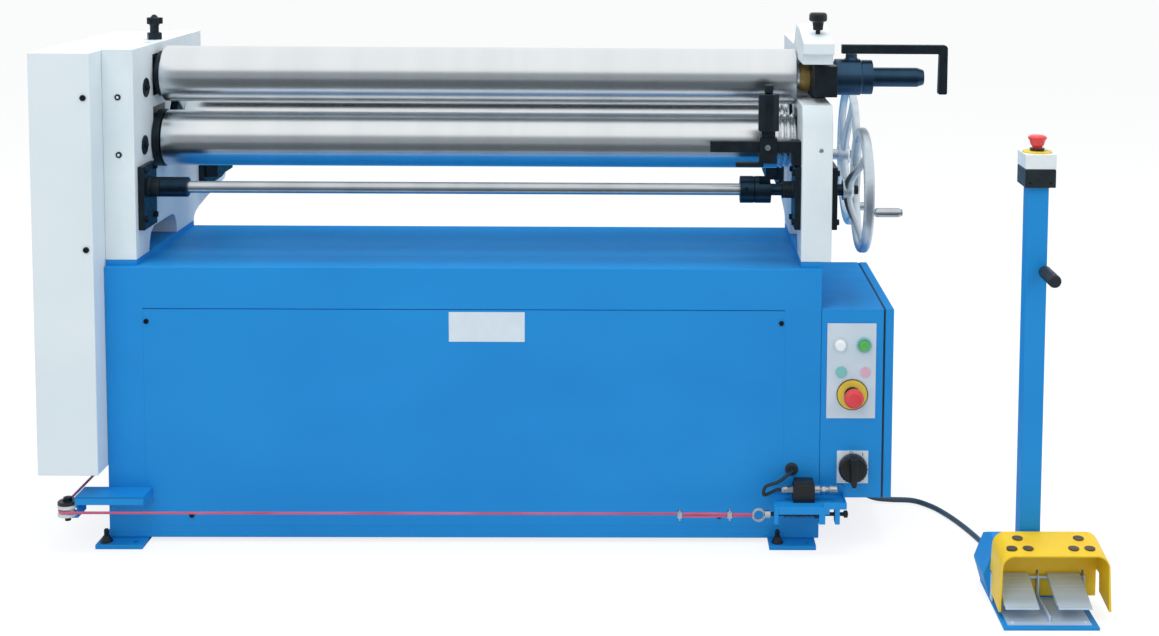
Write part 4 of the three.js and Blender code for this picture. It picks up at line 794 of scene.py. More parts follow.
def bare(node: str, finish: Finish) -> None:
    """Gives a CAD node that stays as it is the finish that it needs."""
    thing = frame["nodes"][node]
    thing.data.materials.clear()
    thing.data.materials.append(finish.material())
    log.info("%s: %s, as packed", node, finish.name)


@dataclass(frozen=True)
class CapScrew:
    """A socket screw: a round head with a hexagon socket.

    Attributes:
        radius: The head's radius.
        height: How far the head stands out.
        socket: The socket's size across its corners, as a share of the head's.
        sides: Points round the head.
    """

    radius: float = 6.3
    height: float = 5.4
    socket: float = 0.5
    sides: int = 24

    def into(self, solid: Solid, axis: Axis, face: float, side: int, a: float, b: float) -> None:
        """Adds the screw to a solid.

        Args:
            solid: The solid that it joins.
            axis: The screw's axis.
            face: The face that the head sits on.
            side: 1 where the head stands to the plus side, and -1 to the minus side.
            a: The head's first place in the plane across the axis.
            b: Its second place.
        """
        top = face + side * self.height
        socket = self.radius * self.socket
        floor = top - side * min(self.height * 0.6, 3.0)
        seat = face - side * 0.5
        rim = fillet([(0.0, seat), (self.radius, seat), (self.radius, top), (socket, top)], 0.7, 2)[1:]
        part = bmesh.new()
        rings = [[part.verts.new(axis.lay(along, *point)) for point in around((a, b), radius, self.sides)]
                 for radius, along in rim]
        for along in (top, floor):
            corners = []
            for c, s in around((0, 0), socket, self.sides):
                flat = math.cos(math.pi / 6) / math.cos(math.atan2(s, c) % (math.pi / 3) - math.pi / 6)
                corners.append(part.verts.new(axis.lay(along, a + c * flat, b + s * flat)))
            rings.append(corners)
        bridge(part, rings)
        bmesh.ops.remove_doubles(part, verts=part.verts, dist=1e-4)
        solid.add(part)


HEAD = CapScrew()
SMALL_HEAD = CapScrew(5.3, 3.0)


def hexagon(a: float, b: float, radius: float, turn: float = 0.0) -> list[Pair]:
    """Gives a hexagon's corners round a point."""
    return around((a, b), radius, 6, turn)


# The machine's sub-assemblies


@dataclass
class Cabinet:
    """The folded sheet-steel cabinet, its front panel and its feet."""

    width: float = 1491.0
    depth: float = 431.0
    bottom: float = 10.0
    top: float = 587.0
    pad_top: float = 598.7
    panel_x: Pair = (78.0, 1414.0)
    panel_z: Pair = (36.0, 498.0)
    foot_left: float = -17.0
    foot_right: float = 1384.0
    foot_width: float = 98.0
    foot_y: Pair = (-40.0, 472.0)
    grommet: Pair = (1432.0, 160.0)

    def build(self) -> None:
        """Builds the cabinet's pieces."""
        self._shell()
        self._panel()
        for side, left in (("left", self.foot_left), ("right", self.foot_right)):
            self._foot(side, left)

    def _shell(self) -> None:
        """Builds the cabinet with the recess of its panel, the frames' pads and the wire's anchor."""
        recess = Solid().box((self.panel_x[0] - 0.1, self.panel_x[1] + 0.1), (-2, 3),
                             (self.panel_z[0] - 0.1, self.panel_z[1] + 2.0))
        shell = Solid().box((0, self.width), (0, self.depth), (self.bottom, self.top), 2.4, 3).carved(
            "cabinet_body", [recess])
        dress(shell, BLUE, "cabinet_shell")
        pads = Solid()
        for x in ((0.2, 64), (1447, self.width - 0.2)):
            pads.box(x, (12, self.depth - 3), (self.top - 1, self.pad_top), 1.2)
        pads.box((-96, 1), (415, 421), (72, 102), 1.0)
        pads.piece("cabinet_pads", BLUE, "cabinet_shell")
        grommet = Solid().turned(Axis.Y, [(4, 1), (13.8, 1), (13.8, -2), (9, -3.9), (4, -3.9), (4, 1)],
                                 *self.grommet, ease=0.8)
        grommet.rods(Axis.Y, 1.6, (-3.95, -1), around(self.grommet, 8.5, 8), 0.5, 12)
        grommet.piece("cable_grommet", BLACK_RUBBER, "cabinet_shell")

    def _panel(self) -> None:
        """Builds the front panel, its screws and the bare name plate."""
        panel = Solid().box(self.panel_x, (0.0, 2.7), self.panel_z, 0.25)
        panel.piece("front_cover_panel", BLUE, "front_panel")
        screws = Solid()
        for x in (self.panel_x[0] + 7, self.panel_x[1] - 7):
            SMALL_HEAD.into(screws, Axis.Y, 0.0, -1, x, 472)
        for x in (173.0, 1280.0):
            SMALL_HEAD.into(screws, Axis.Y, 0.0, -1, x, 58)
        screws.piece("panel_screws", SCREW_STEEL, "front_panel")
        plate = Solid().box((713, 871), (-0.9, 0.1), (431, 494), 0.3)
        for x in (719, 865):
            for z in (437, 488):
                plate.turned(Axis.Y, [(0, -1.9), (1.4, -1.7), (2.2, -0.8), (2.2, 0), (0, 0)], x, z, 20)
        plate.piece("bare_name_plate", LABEL, "front_panel")

    def _foot(self, side: str, left: float) -> None:
        """Builds one foot bar with its anchor holes and its two levelling studs."""
        right = left + self.foot_width
        ends = (self.foot_y[0] + 18, self.foot_y[1] - 18)
        holes = [Solid().rod(Axis.Z, 6, (-2, 12), right - 18, y, 0.0, 32) for y in ends]
        bar = Solid().box((left, right), self.foot_y, (0, 9.7), 1.4, 3).carved(f"foot_plate_{side}", holes)
        dress(bar, BLUE, f"foot_bar_{side}")
        studs = Solid()
        for y in ends:
            thread = [(0, 9), (12.5, 9), (12.5, 12), (11, 14.5), (6.4, 23)]
            for i in range(7):
                thread += [(5.2, 23.6 + 1.8 * i), (4.4, 24.5 + 1.8 * i)]
            studs.turned(Axis.Z, [*thread, (3.8, 37), (0, 37)], left + 18, y, 40)
        studs.piece(f"levelling_studs_{side}", SCREW_STEEL, f"foot_bar_{side}")


@dataclass
class SideFrames:
    """The cast side frames, the gear cover on the left one and what is let into them."""

    inner: float = 64.0
    front: float = 12.0
    plugs: tuple[Pair, Pair] = ((94.0, 950.0), (79.0, 830.0))
    cover_x: Pair = (-124.0, -0.3)
    cover_y: Pair = (-60.0, 476.0)
    cover_z: Pair = (164.0, 1037.0)
    cover_return: float = 34.0

    def build(self) -> None:
        """Builds the frames, the cover and their plugs and screws."""
        for side in ("left", "right"):
            softened(f"frame_{side}", f"side_casting_{side}", WHITE, 3.0, 10.0)
        self._plugs()
        self._cover()

    def _plugs(self) -> None:
        """Builds the round plugs and the screws on the left frame."""
        plugs = Solid()
        screws = Solid()
        for y, z in self.plugs:
            plugs.turned(Axis.X, bar_profile(20.4, 63, 66.2), y, z, 48, 0.9)
            HEAD.into(screws, Axis.X, 66.0, 1, y, z)
        for z in (939.0, 819.0):
            CapScrew(6.3, 2.8).into(screws, Axis.Y, self.front, -1, self.inner / 2, z)
        CapScrew(6.3, 3.3).into(screws, Axis.X, self.inner, 1, 440, 997)
        plugs.piece("frame_plugs", BLACK_STEEL, "frame_left")
        screws.piece("frame_screws", SCREW_STEEL, "frame_left")

    def _cover(self) -> None:
        """Builds the folded gear cover with its seam and screws."""
        x, y, z = self.cover_x, self.cover_y, self.cover_z
        hollow = Solid().box((x[0] + 2, x[1] - 2), (y[0] + 2, y[1] - 2), (z[0] + 2, z[1] - 2))
        mouth = Solid().box((x[1] - 4, x[1] + 1), (self.cover_return, y[1] - 2), (z[0] + 2, z[1] - 2))
        cover = Solid().box(x, y, z, 2.2, 3).carved("gear_guard", [hollow, mouth])
        dress(cover, WHITE_SHEET, "gear_cover")
        screws = Solid()
        for height in (946.0, 635.0):
            CapScrew(6.2, 3.2).into(screws, Axis.Y, y[0], -1, -14, height)
        screws.piece("gear_guard_screws", SCREW_STEEL, "gear_cover")
        for node in ("upper_gear", "lower_gear", "idler_gear", "bull_gear", "motor_pinion"):
            bare(node, GEAR_STEEL)
        bare("gear_motor", MOTOR)


@dataclass
class Rolls:
    """The three rolls and the blackened blocks that carry them."""

    radius: float = 60.0
    span: Pair = (82.0, 1445.0)
    ends: Pair = (24.0, 1487.0)
    journal: float = 30.0
    y: float = 182.0
    lower_z: float = 831.0
    upper_z: float = 971.0
    rear: Pair = (345.0, 838.0)
    block_x: Pair = (20.0, 62.0)
    block_x_right: Pair = (1449.0, 1491.0)
    slope: float = -35.0
    grooves: tuple[Pair, ...] = ((36.0, 3.0), (24.0, 4.0), (10.0, 5.0))
    screw: float = 12.0
    screw_foot: float = 700.0

    def build(self) -> None:
        """Builds the rolls and their blocks."""
        for name, node, y, z in (("lower_bending_roll", "lower_roll", self.y, self.lower_z),
                                 ("rear_bending_roll", "rear_roll", *self.rear)):
            Solid().turned(Axis.X, self._profile(True), y, z, 128).piece(name, ROLL_STEEL, node, 40)
        upper = Solid().turned(Axis.X, self._profile(False), self.y, self.upper_z, 128)
        upper.piece("upper_bending_roll", ROLL_STEEL, "upper_roll", 40)
        self._lower_blocks()
        self._rear_blocks()
        self._upper_blocks()

    def _profile(self, grooved: bool) -> list[Pair]:
        """Gives a roll's profile, with its wire grooves or with the upper roll's thinner right journal."""
        left, right = self.span
        start, end = self.ends
        line = [(0.0, start), (self.journal - 1.5, start), (self.journal, start + 1.5), (self.journal, left),
                (self.radius - 2, left), (self.radius, left + 2)]
        if grooved:
            for inset, r in self.grooves:
                line += [(self.radius - r * math.sin(math.radians(a)),
                          right - inset - r * math.cos(math.radians(a))) for a in range(0, 181, 15)]
            tail = [(self.journal, right), (self.journal, end), (0.0, end)]
        else:
            tail = [(self.journal - 4, right), (self.journal - 4, 1600.0), (0.0, 1600.0)]
        return [*line, (self.radius, right - 2), (self.radius - 2, right), *tail]

    def _lower_blocks(self) -> None:
        """Builds the lift blocks, the left one with its round cap."""
        y, z = (self.y - 41, self.y + 41), (self.lower_z - 48, self.lower_z + 48)
        for side, x in (("left", self.block_x), ("right", self.block_x_right)):
            block = Solid().box(x, y, z, 1.4, 3)
            block.rod(Axis.Z, self.screw, (self.screw_foot, self.lower_z), sum(x) / 2, self.y)
            if side == "left":
                cap = [(0, 60), (36, 60), (36, 65), (62, 65), (62, 80), (0, 80)]
                block.turned(Axis.X, cap, self.y, self.lower_z, 96, 1.5)
            block.piece(f"lift_block_{side}", BLACK_STEEL, f"lower_block_{side}")

    def _rear_blocks(self) -> None:
        """Builds the sloping blocks of the bending roll with their screws."""
        y, z = self.rear
        for side, x in (("left", self.block_x), ("right", self.block_x_right)):
            block = Solid().box(x, (y - 42, y + 42), (z - 35, z + 35), 1.4, 3)
            block.rod(Axis.Y, self.screw, (y, y + 120), sum(x) / 2, z)
            block.turn(Axis.X, self.slope, (0, y, z))
            block.piece(f"bend_block_{side}", BLACK_STEEL, f"rear_block_{side}")

    def _upper_blocks(self) -> None:
        """Builds the upper roll's pivot block and the opening bearing with its bronze bush."""
        pivot = Solid().box(self.block_x, (148, 216), (931, 1011), 1.4, 3)
        pivot.turned(Axis.X, [(0, 60), (36, 60), (36, 69), (49, 69), (49, 80), (0, 80)], self.y, self.upper_z,
                     96, 1.5)
        pivot.rod(Axis.Z, 8, (904.5, 1036), 41, self.y)
        pivot.piece("pivot_bearing", BLACK_STEEL, "pivot_block")
        bearing = Solid().box((1475, 1524), (62, 242), (940, 1006), 2.2, 3)
        bearing.box((1479, 1509), (151, 242), (927.3, 973), 1.2)
        bearing.turned(Axis.X, bar_profile(35, 1520, 1528), self.y, self.upper_z, 64, 1.2)
        bearing.piece("opening_bearing", BLACK_STEEL, "bearing_block")
        bush = Solid().turned(Axis.X, ring_profile(27, 31, 1454, 1476), self.y, self.upper_z, 96, 0.8)
        bush.turned(Axis.X, ring_profile(26.5, 29.5, 1454, 1453.7), self.y, self.upper_z, 64, 0.1)
        bush.piece("bearing_bush", BRONZE, "bearing_block")


@dataclass
class ReleaseLever:
    """The sleeve that locks the upper roll's end, with its L-shaped bar."""

    start: float = 1531.0
    y: float = 182.0
    z: float = 971.0
    bar_z: float = 1032.0
    bar: float = 9.8
    grip_x: float = 1766.5
    grip_end: float = 934.0
    bend: float = 8.0

    def build(self) -> None:
        """Builds the turned sleeve and the bent bar."""
        x = self.start
        profile = [(0, x), (39.5, x), (39.5, x + 55), (36.5, x + 57), (37.5, x + 59), (37.5, x + 81),
                   (21, x + 81), (21, x + 179), (16, x + 194), (0, x + 194)]
        sleeve = Solid().turned(Axis.X, profile, self.y, self.z, 96, 1.6)
        stud = [(0, 1004), (15.5, 1004), (15.5, 1011), (12.5, 1013), (12.5, 1021), (0, 1021)]
        sleeve.turned(Axis.Z, stud, x + 36, self.y, 48, 1.2)
        sleeve.piece("release_sleeve_body", SLEEVE_STEEL, "release_sleeve", 40)
        top, under = self.bar_z + self.bar, self.bar_z - self.bar
        left, right, end = self.grip_x - self.bar, self.grip_x + self.bar, self.grip_end
        outline = [(x + 14.5, under), (x + 14.5, top),
                   *arc((right - self.bend, top - self.bend), self.bend, 90, 0, 8),
                   *arc((right - 4, end + 4), 4, 0, -90, 5),
                   *arc((left + 4, end + 4), 4, -90, -180, 5), (left + 1.5, under)]
        bar = Solid().prism(Axis.Y, outline, (self.y - self.bar, self.y + self.bar), 1.8, 3)
        bar.piece("release_bar", BLACK_STEEL, "release_sleeve")


@dataclass
class Adjusters:
    """The plates, gearboxes, shafts and coupling that move the lower and rear rolls."""

    front: Pair = (72.0, 742.0)
    rear: Pair = (560.0, 741.0)
    shaft: float = 12.5
    plate_y: Pair = (28.0, 115.0)
    plate_z: Pair = (664.0, 796.0)

    def build(self) -> None:
        """Builds the plates, gearboxes and shafts."""
        self._left_plate()
        self._right_plates()
        for side, face, way in (("left", 64.0, 1), ("right", 1447.0, -1)):
            self._gearbox(side, face, way)
        self._shafts()
        self._coupling()

    def _heads(self, solid: Solid, face: float, side: int) -> None:
        """Adds four socket screws to a plate's face."""
        for y in (self.plate_y[0] + 14, self.plate_y[1] - 14):
            for z in (self.plate_z[0] + 14, self.plate_z[1] - 14):
                HEAD.into(solid, Axis.X, face, side, y, z)

    def _left_plate(self) -> None:
        """Builds the left adjuster plate and its boss."""
        plate = Solid().box((64.3, 77), self.plate_y, (657, 791), 1.6, 3)
        boss = [(0, 76), (23, 76), (21, 80), (21, 100.7), (0, 100.7)]
        plate.turned(Axis.X, boss, *self.front, 64, 1.4)
        self._heads(plate, 77, 1)
        plate.piece("adjuster_plate_left", BLACK_STEEL, "front_plate_left")

    def _right_plates(self) -> None:
        """Builds the plates on both sides of the right frame."""
        plates = Solid().box((1434, 1446.7), self.plate_y, self.plate_z, 1.6, 3)
        plates.box((1511.3, 1524), self.plate_y, self.plate_z, 1.6, 3)
        plates.rod(Axis.X, 14, (1434, 1524), *self.front)
        plates.turned(Axis.X, [(0, 1410), (18, 1410), (18, 1430), (20, 1435), (0, 1435)], *self.front, 64,
                      1.4)
        self._heads(plates, 1524, 1)
        self._heads(plates, 1434, -1)
        plates.piece("adjuster_plates_right", BLACK_STEEL, "front_plate_right")

    def _gearbox(self, side: str, face: float, way: int) -> None:
        """Builds one rear gearbox with its mounting plate.

        Args:
            side: "left" or "right".
            face: The frame's inner face.
            way: 1 where the gearbox stands to the right of it, and -1 to the left.
        """
        def span(near: float, far: float) -> Pair:
            """Gives a stretch across the frame's face in rising order."""
            ends = sorted((face + way * near, face + way * far))
            return (ends[0], ends[1])

        outline = [(472, 667), (640, 667), (640, 748), (600, 748), (600, 804), (472, 804)]
        box = Solid().prism(Axis.X, outline, span(0.3, 12), 1.4, 3)
        box.box(span(0.4, 42), (482, 620), (691, 780), 3.0, 4)
        near, far = span(40, 54)
        box.turned(Axis.X, bar_profile(26, near, far), *self.rear, 64, 1.4)
        for y, z in ((482, 679), (630, 679), (482, 792)):
            HEAD.into(box, Axis.X, face + way * 12, way, y, z)
        box.piece(f"rear_gear_housing_{side}", BLACK_STEEL, f"rear_gearbox_{side}")

    def _shafts(self) -> None:
        """Builds the two cross shafts and the sleeve pinned on the front one."""
        front = Solid().rod(Axis.X, self.shaft, (38, 1346), *self.front)
        front.piece("front_cross_shaft", SHAFT_STEEL, "front_shaft")
        sleeve = fillet([(12, 101), (21, 101), (21, 156), (20, 157), (12, 157), (12, 101)], 1.0)
        collar = Solid().turned(Axis.X, sleeve, *self.front, 64)
        SMALL_HEAD.into(collar, Axis.Y, self.front[0] - 19.8, -1, 143, self.front[1])
        collar.piece("shaft_sleeve", COLLAR_STEEL, "front_shaft")
        rear = Solid().rod(Axis.X, self.shaft, (38, 1605), *self.rear)
        rear.piece("rear_cross_shaft", SHAFT_STEEL, "rear_shaft")

    def _coupling(self) -> None:
        """Builds the dog coupling with its seam, its window and the hole of its set screw."""
        profile = [(0, 1321), (28.5, 1321), (28.5, 1350), (26.8, 1350.4), (26.8, 1351.6), (28.5, 1352),
                   (28.5, 1386), (12.5, 1386), (12.5, 1554), (0, 1554)]
        y, z = self.front
        window = Solid().box((1361, 1390), (y - 30, y + 2), (z + 15, z + 30))
        hole = Solid().rod(Axis.Y, 4, (y - 30, y - 23), 1333, z + 5, 0.2, 24)
        coupling = Solid().turned(Axis.X, fillet(profile, 1.0, 2), y, z, 96)
        dress(coupling.carved("dog_coupling", [window, hole]), COLLAR_STEEL, "shaft_coupling")


@dataclass
class Handwheel:
    """A dished three-spoke handwheel with a turning grip on its rim."""

    name: str
    node: str
    grip_node: str
    centre: Pair
    hub_x: Pair
    rim_x: float
    rim: float
    rim_radius: float
    hub: float
    spoke: float
    grip_angle: float
    grip: float
    grip_length: float

    def build(self) -> None:
        """Builds the casting, its hub nut and the grip."""
        y, z = self.centre
        wheel = Solid()
        self._rim(wheel)
        near, far = self.hub_x
        hub = [(0, near), (self.hub + 1, near), (self.hub, far - 6), (self.hub - 5, far), (0, far)]
        wheel.turned(Axis.X, hub, y, z, 72, 1.6)
        for i in range(3):
            self._spoke(wheel, self.grip_angle - 60 + 120 * i)
        wheel.piece(f"{self.name}_casting", ALUMINIUM, self.node, 45)
        nut = Solid().turned(Axis.X, bar_profile(9.5, far - 1, far + 10), y, z, 40, 1.2)
        grip_y, grip_z = self._grip_centre()
        head = self.rim_x + self.rim_radius + self.grip_length
        nut.piece(f"{self.name}_hub_nut", BLACK_STEEL, self.node)
        pin = Solid().turned(Axis.X, [(0, self.rim_x), (4.5, self.rim_x), (4.5, head + 0.6),
                                      (7.6, head + 0.6), (7.0, head + 2.8), (3.4, head + 4), (0, head + 4)],
                             grip_y, grip_z, 40, 0.6)
        pin.piece(f"{self.name}_grip_pin", SHAFT_STEEL, self.node)
        self._handle(grip_y, grip_z)

    def _grip_centre(self) -> Pair:
        """Gives where the grip's axis crosses the wheel's plane."""
        angle = math.radians(self.grip_angle)
        return (self.centre[0] + self.rim * math.cos(angle), self.centre[1] + self.rim * math.sin(angle))

    def _rim(self, wheel: Solid) -> None:
        """Adds the rim, whose section is a rounded rectangle with a flattened outer face."""
        section = []
        for i in range(24):
            angle = 2 * math.pi * i / 24
            c, s = math.cos(angle), math.sin(angle)
            full = (abs(c) ** 3 + abs(s) ** 3) ** (-1 / 3)
            section.append((self.rim + 0.86 * self.rim_radius * full * c,
                            self.rim_x + 0.9 * self.rim_radius * full * s))
        wheel.turned(Axis.X, [*section, section[0]], *self.centre, 128)

    def _spoke(self, wheel: Solid, degrees: float) -> None:
        """Adds one spoke, waisted in the middle and flared into the rim.

        Args:
            wheel: The wheel that it joins.
            degrees: Its direction in the wheel's plane, from +y to +z.
        """
        angle = math.radians(degrees)
        out = Vector((0, math.cos(angle), math.sin(angle)))
        wide = Vector((0, -math.sin(angle), math.cos(angle)))
        deep = Vector((1, 0, 0))
        middle = Vector((0, *self.centre))
        hub_middle = sum(self.hub_x) / 2
        sections = []
        for i in range(15):
            t = i / 14
            reach = (self.hub - 8) + (self.rim - self.hub + 8) * t
            bow = 3 * t * t - 2 * t ** 3
            along = hub_middle + (self.rim_x - hub_middle) * bow
            flare = (2 * t - 1) ** 2
            half_wide = self.spoke * (0.36 + 0.22 * flare)
            half_deep = self.spoke * (0.28 + 0.1 * (1 - t))
            centre = middle + out * reach + deep * along
            ring = []
            for k in range(20):
                turn = 2 * math.pi * k / 20
                c, s = math.cos(turn), math.sin(turn)
                full = (abs(c) ** 2.6 + abs(s) ** 2.6) ** (-1 / 2.6)
                ring.append(tuple(centre + wide * (half_wide * full * c) + deep * (half_deep * full * s)))
            sections.append(ring)
        wheel.loft(sections)

    def _handle(self, y: float, z: float) -> None:
        """Builds the round grip that turns on its pin."""
        start = self.rim_x + self.rim_radius + FACE
        end = start + self.grip_length
        hole = 4.8
        outer = [(self.grip - 1.5, start), (self.grip, start + 4), (self.grip, end - 5), (self.grip - 2, end)]
        profile = [(hole, start), *outer, (hole, end), (hole, start)]
        Solid().turned(Axis.X, profile, y, z, 64, 1.2).piece(f"{self.name}_grip", SHAFT_STEEL, self.grip_node)


@dataclass
class Knobs:
    """The star knob on the left frame and the clamp knob on the right one."""

    star: Pair = (34.0, 256.0)
    star_base: float = 1038.3
    clamp: Pair = (1483.0, 80.0)

    def build(self) -> None:
        """Builds both knobs."""
        base = self.star_base
        x, y = self.star
        knob = Solid().prism(Axis.Z, hexagon(x, y, 16.5), (base, base + 15), 1.2, 3)
        knob.rod(Axis.Z, 6, (base - 26, base + 20), x, y)
        knob.turned(Axis.Z, [(0, base + 14), (9.5, base + 14), (9.5, base + 30), (12.5, base + 35),
                             (13, base + 47), (8, base + 49), (4, base + 54), (0, base + 55)], x, y, 48, 1.2)
        knob.rods(Axis.Z, 6, (base + 34, base + 48), around(self.star, 12, 5, 90), 1.6, 24)
        knob.piece("star_knob", BLACK_STEEL, "left_knob")
        x, y = self.clamp
        Solid().rod(Axis.Z, 5, (1006.3, 1084), x, y, 0.8, 32).piece("clamp_screw", SCREW_STEEL, "clamp_knob")
        head = Solid().turned(Axis.Z, [(0, 1081), (10.5, 1081), (12, 1098), (18.6, 1101), (18.6, 1114),
                                       (16, 1118), (0, 1118)], x, y, 64, 1.6)
        head.rods(Axis.Z, 1.8, (1102, 1114), around(self.clamp, 17.2, 12), 0.8, 12)
        head.piece("clamp_knob_head", BLACK_PLASTIC, "clamp_knob")


@dataclass
class EdgeGuide:
    """The guide that squares the sheet's edge: a bar, a slider and a faceted roller."""

    x: float = 1378.0
    y: float = 40.0
    bar_x: Pair = (1256.0, 1446.7)
    bar_z: Pair = (827.0, 850.0)
    roller: float = 23.0
    roller_z: Pair = (872.3, 950.0)

    def build(self) -> None:
        """Builds the bar, the slider and the roller."""
        x, y = self.x, self.y
        bar = Solid().box(self.bar_x, (y - 6, y + 6), self.bar_z, 1.2, 3)
        bar.box((1427.7, 1446.6), (y - 5.6, y + 34), (800, 849.6), 1.2)
        CapScrew(6.0, 2.8).into(bar, Axis.Y, y - 5.6, -1, 1437.7, 813)
        bar.piece("guide_rail", BLACK_STEEL, "guide_bar")
        slot = Solid().box((x - 30, x + 30), (y - 6.3, y + 6.3), (self.bar_z[0] - 0.3, self.bar_z[1] + 0.3))
        slider = Solid().box((x - 19, x + 18), (y - 13, y + 13), (804, 858), 1.6,
                             3).carved("guide_carrier", [slot])
        dress(slider, BLACK_STEEL, "guide_slider")
        parts = Solid().box((x - 15, x + 14), (y - 8, y + 8), (857.5, 872), 1.2)
        parts.box((x - 68, x - 10), (y - 8, y + 12), (796, 805), 1.2)
        parts.turned(Axis.Z, [(0, 871), (5, 871), (5, 950.3), (8, 950.3), (9, 954), (9, 967), (7, 969),
                              (0, 969)], x, y, 40, 0.7)
        parts.rods(Axis.Z, 1.0, (955, 966), around((x, y), 8.4, 14), 0.4, 8)
        parts.piece("guide_stud_and_foot", BLACK_STEEL, "guide_slider")
        screw = Solid()
        CapScrew(6.2, 3.1).into(screw, Axis.Y, y - 13, -1, x - 2, 838)
        screw.piece("guide_lock_screw", ZINC_FITTING, "guide_slider")
        roller = Solid().prism(Axis.Z, around((x, y), self.roller, 8, 22.5), self.roller_z, 1.6, 3)
        roller.piece("guide_barrel", BLACK_STEEL, "guide_roller")


@dataclass
class SwitchBox:
    """The electrical box with its door, its control plate and its main switch."""

    left: float = 1491.3
    right: float = 1625.0
    depth: float = 440.0
    z: Pair = (98.0, 503.0)
    door: Pair = (1625.3, 1643.0)
    plate_x: Pair = (1503.3, 1606.0)
    plate_z: Pair = (270.0, 473.0)
    lamp: Pair = (1530.3, 427.0)
    start: Pair = (1580.3, 427.0)
    stop: Pair = (1557.3, 321.0)
    switch: Pair = (1560.3, 165.0)

    def build(self) -> None:
        """Builds the box and what is on it."""
        self._box()
        self._plate()
        self._buttons()
        self._main_switch()

    def _box(self) -> None:
        """Builds the box, its door and the hinges at the back."""
        rim = self.right - 3.6
        box, hollow = self._inset(self.left, rim, 0, 2.0), self._inset(self.left + 3, self.right + 2, 3)
        dress(box.carved("switch_box_body", [hollow]), BLUE, "ebox_body")
        seal, room = self._inset(rim - 0.6, self.right + 0.2, 1.4, 0.8,
                                 2), self._inset(rim - 3, self.right + 2, 5)
        dress(seal.carved("door_seal", [room]), BLACK_RUBBER, "ebox_body")
        door, pan = self._inset(*self.door, 0, 2.4), self._inset(self.door[0] - 1, self.door[1] - 2, 2)
        dress(door.carved("switch_box_door", [pan]), BLUE, "ebox_door")
        lock = Solid().turned(Axis.X, [(0, 1641), (9, 1641), (9, 1645), (6, 1646), (0, 1646)], 40, 300.5, 40,
                              0.7)
        lock.box((1645.6, 1645.9), (35, 45), (299.5, 301.5))
        lock.piece("door_lock", BLACK_PLASTIC, "ebox_door")
        fixed, swinging = Solid(), Solid()
        for z in (160.0, 430.0):
            fixed.box((1595, 1624), (439, 443), (z + 0.3, z + 22), 0.6)
            fixed.box((1595, 1635), (440.3, 443), (z + 0.3, z + 22), 0.6)
            fixed.rod(Axis.Z, 6, (z + 0.3, z + 22), 1635, 447, 0.8, 32)
            fixed.rod(Axis.Z, 2.5, (z - 18, z + 10), 1635, 447, 0.3, 20)
            swinging.box((1636, 1641), (439, 447), (z - 20, z), 0.6)
            swinging.turned(Axis.Z, ring_profile(2.8, 6, z - 20, z), 1635, 447, 32, 0.7)
        gland = [(6.05, 78), (9.5, 78), (11, 81), (11, 90), (9.5, 92), (9.5, 99), (6.05, 99), (6.05, 78)]
        fixed.turned(Axis.Z, gland, 1600.3, 231, 48, 0.7)
        fixed.piece("box_hinges_and_gland", BLACK_PLASTIC, "ebox_body")
        swinging.piece("door_hinge_leaves", BLACK_PLASTIC, "ebox_door")

    def _inset(self, left: float, right: float, margin: float, edge: float = 0.0, steps: int = 3) -> Solid:
        """Gives a block of the box's depth and height, less a margin on all four sides."""
        y, z = (margin, self.depth - margin), (self.z[0] + margin, self.z[1] - margin)
        return Solid().box((left, right), y, z, edge, steps)

    def _plate(self) -> None:
        """Builds the control plate with its lamp, discs and rings."""
        plate = Solid().box(self.plate_x, (-2, -FACE), self.plate_z, 0.5)
        plate.piece("control_panel_plate", PLATE, "control_plate")
        dome = [(0, -13), (8.5, -13), (12, -10), (12.6, -5), (12.6, -1), (0, -1)]
        for name, finish, centre, profile, ease, sides in (
                ("power_lamp", LAMP, self.lamp, dome, 1.6, 64),
                ("lamp_bezel", GREY_PLASTIC, self.lamp, ring_profile(12.7, 14.6, -1.8, -4.0), 0.9, 64),
                ("start_bezel", TEAL, self.start, ring_profile(11.3, 15.5, -1.8, -8.0), 0.9, 64),
                ("forward_disc", TEAL, (1533.3, 369), bar_profile(12, -1.8, -4), 0.5, 56),
                ("reverse_disc", PINK, (1584.3, 369), bar_profile(11, -1.8, -4), 0.5, 56),
                ("stop_disc", YELLOW_DISC, self.stop, ring_profile(17, 31.6, -1.8, -4), 0.4, 80)):
            Solid().turned(Axis.Y, profile, *centre, sides, ease).piece(name, finish, "control_plate")
        edge = Solid().turned(Axis.Y, [(31.4, -1.8), (33, -1.8), (33, -4), (31.4, -4.1), (31.4, -1.8)],
                              *self.stop, 80)
        collar = fillet([(11.3, -1.8), (16, -1.8), (16, -9.4), (14.5, -10), (11.3, -10), (11.3, -1.8)], 0.6)
        edge.turned(Axis.Y, collar, *self.stop, 64)
        edge.piece("stop_disc_edge", BLACK_PLASTIC, "control_plate")

    def _buttons(self) -> None:
        """Builds the start button and the mushroom stop."""
        start = Solid().turned(Axis.Y, [(0, -13.6), (7.5, -14), (10.9, -12.4), (10.9, -5.6), (0, -5.6)],
                               *self.start, 64, 1.0)
        start.piece("start_push_button", GREEN, "start_button")
        stop = Solid().turned(Axis.Y, [(0, -42), (13, -41), (20.6, -34.5), (20.8, -28), (14, -22),
                                       (10.9, -21), (10.9, -8), (0, -8)], *self.stop, 80, 2.6)
        stop.piece("mushroom_stop_button", RED, "panel_stop")

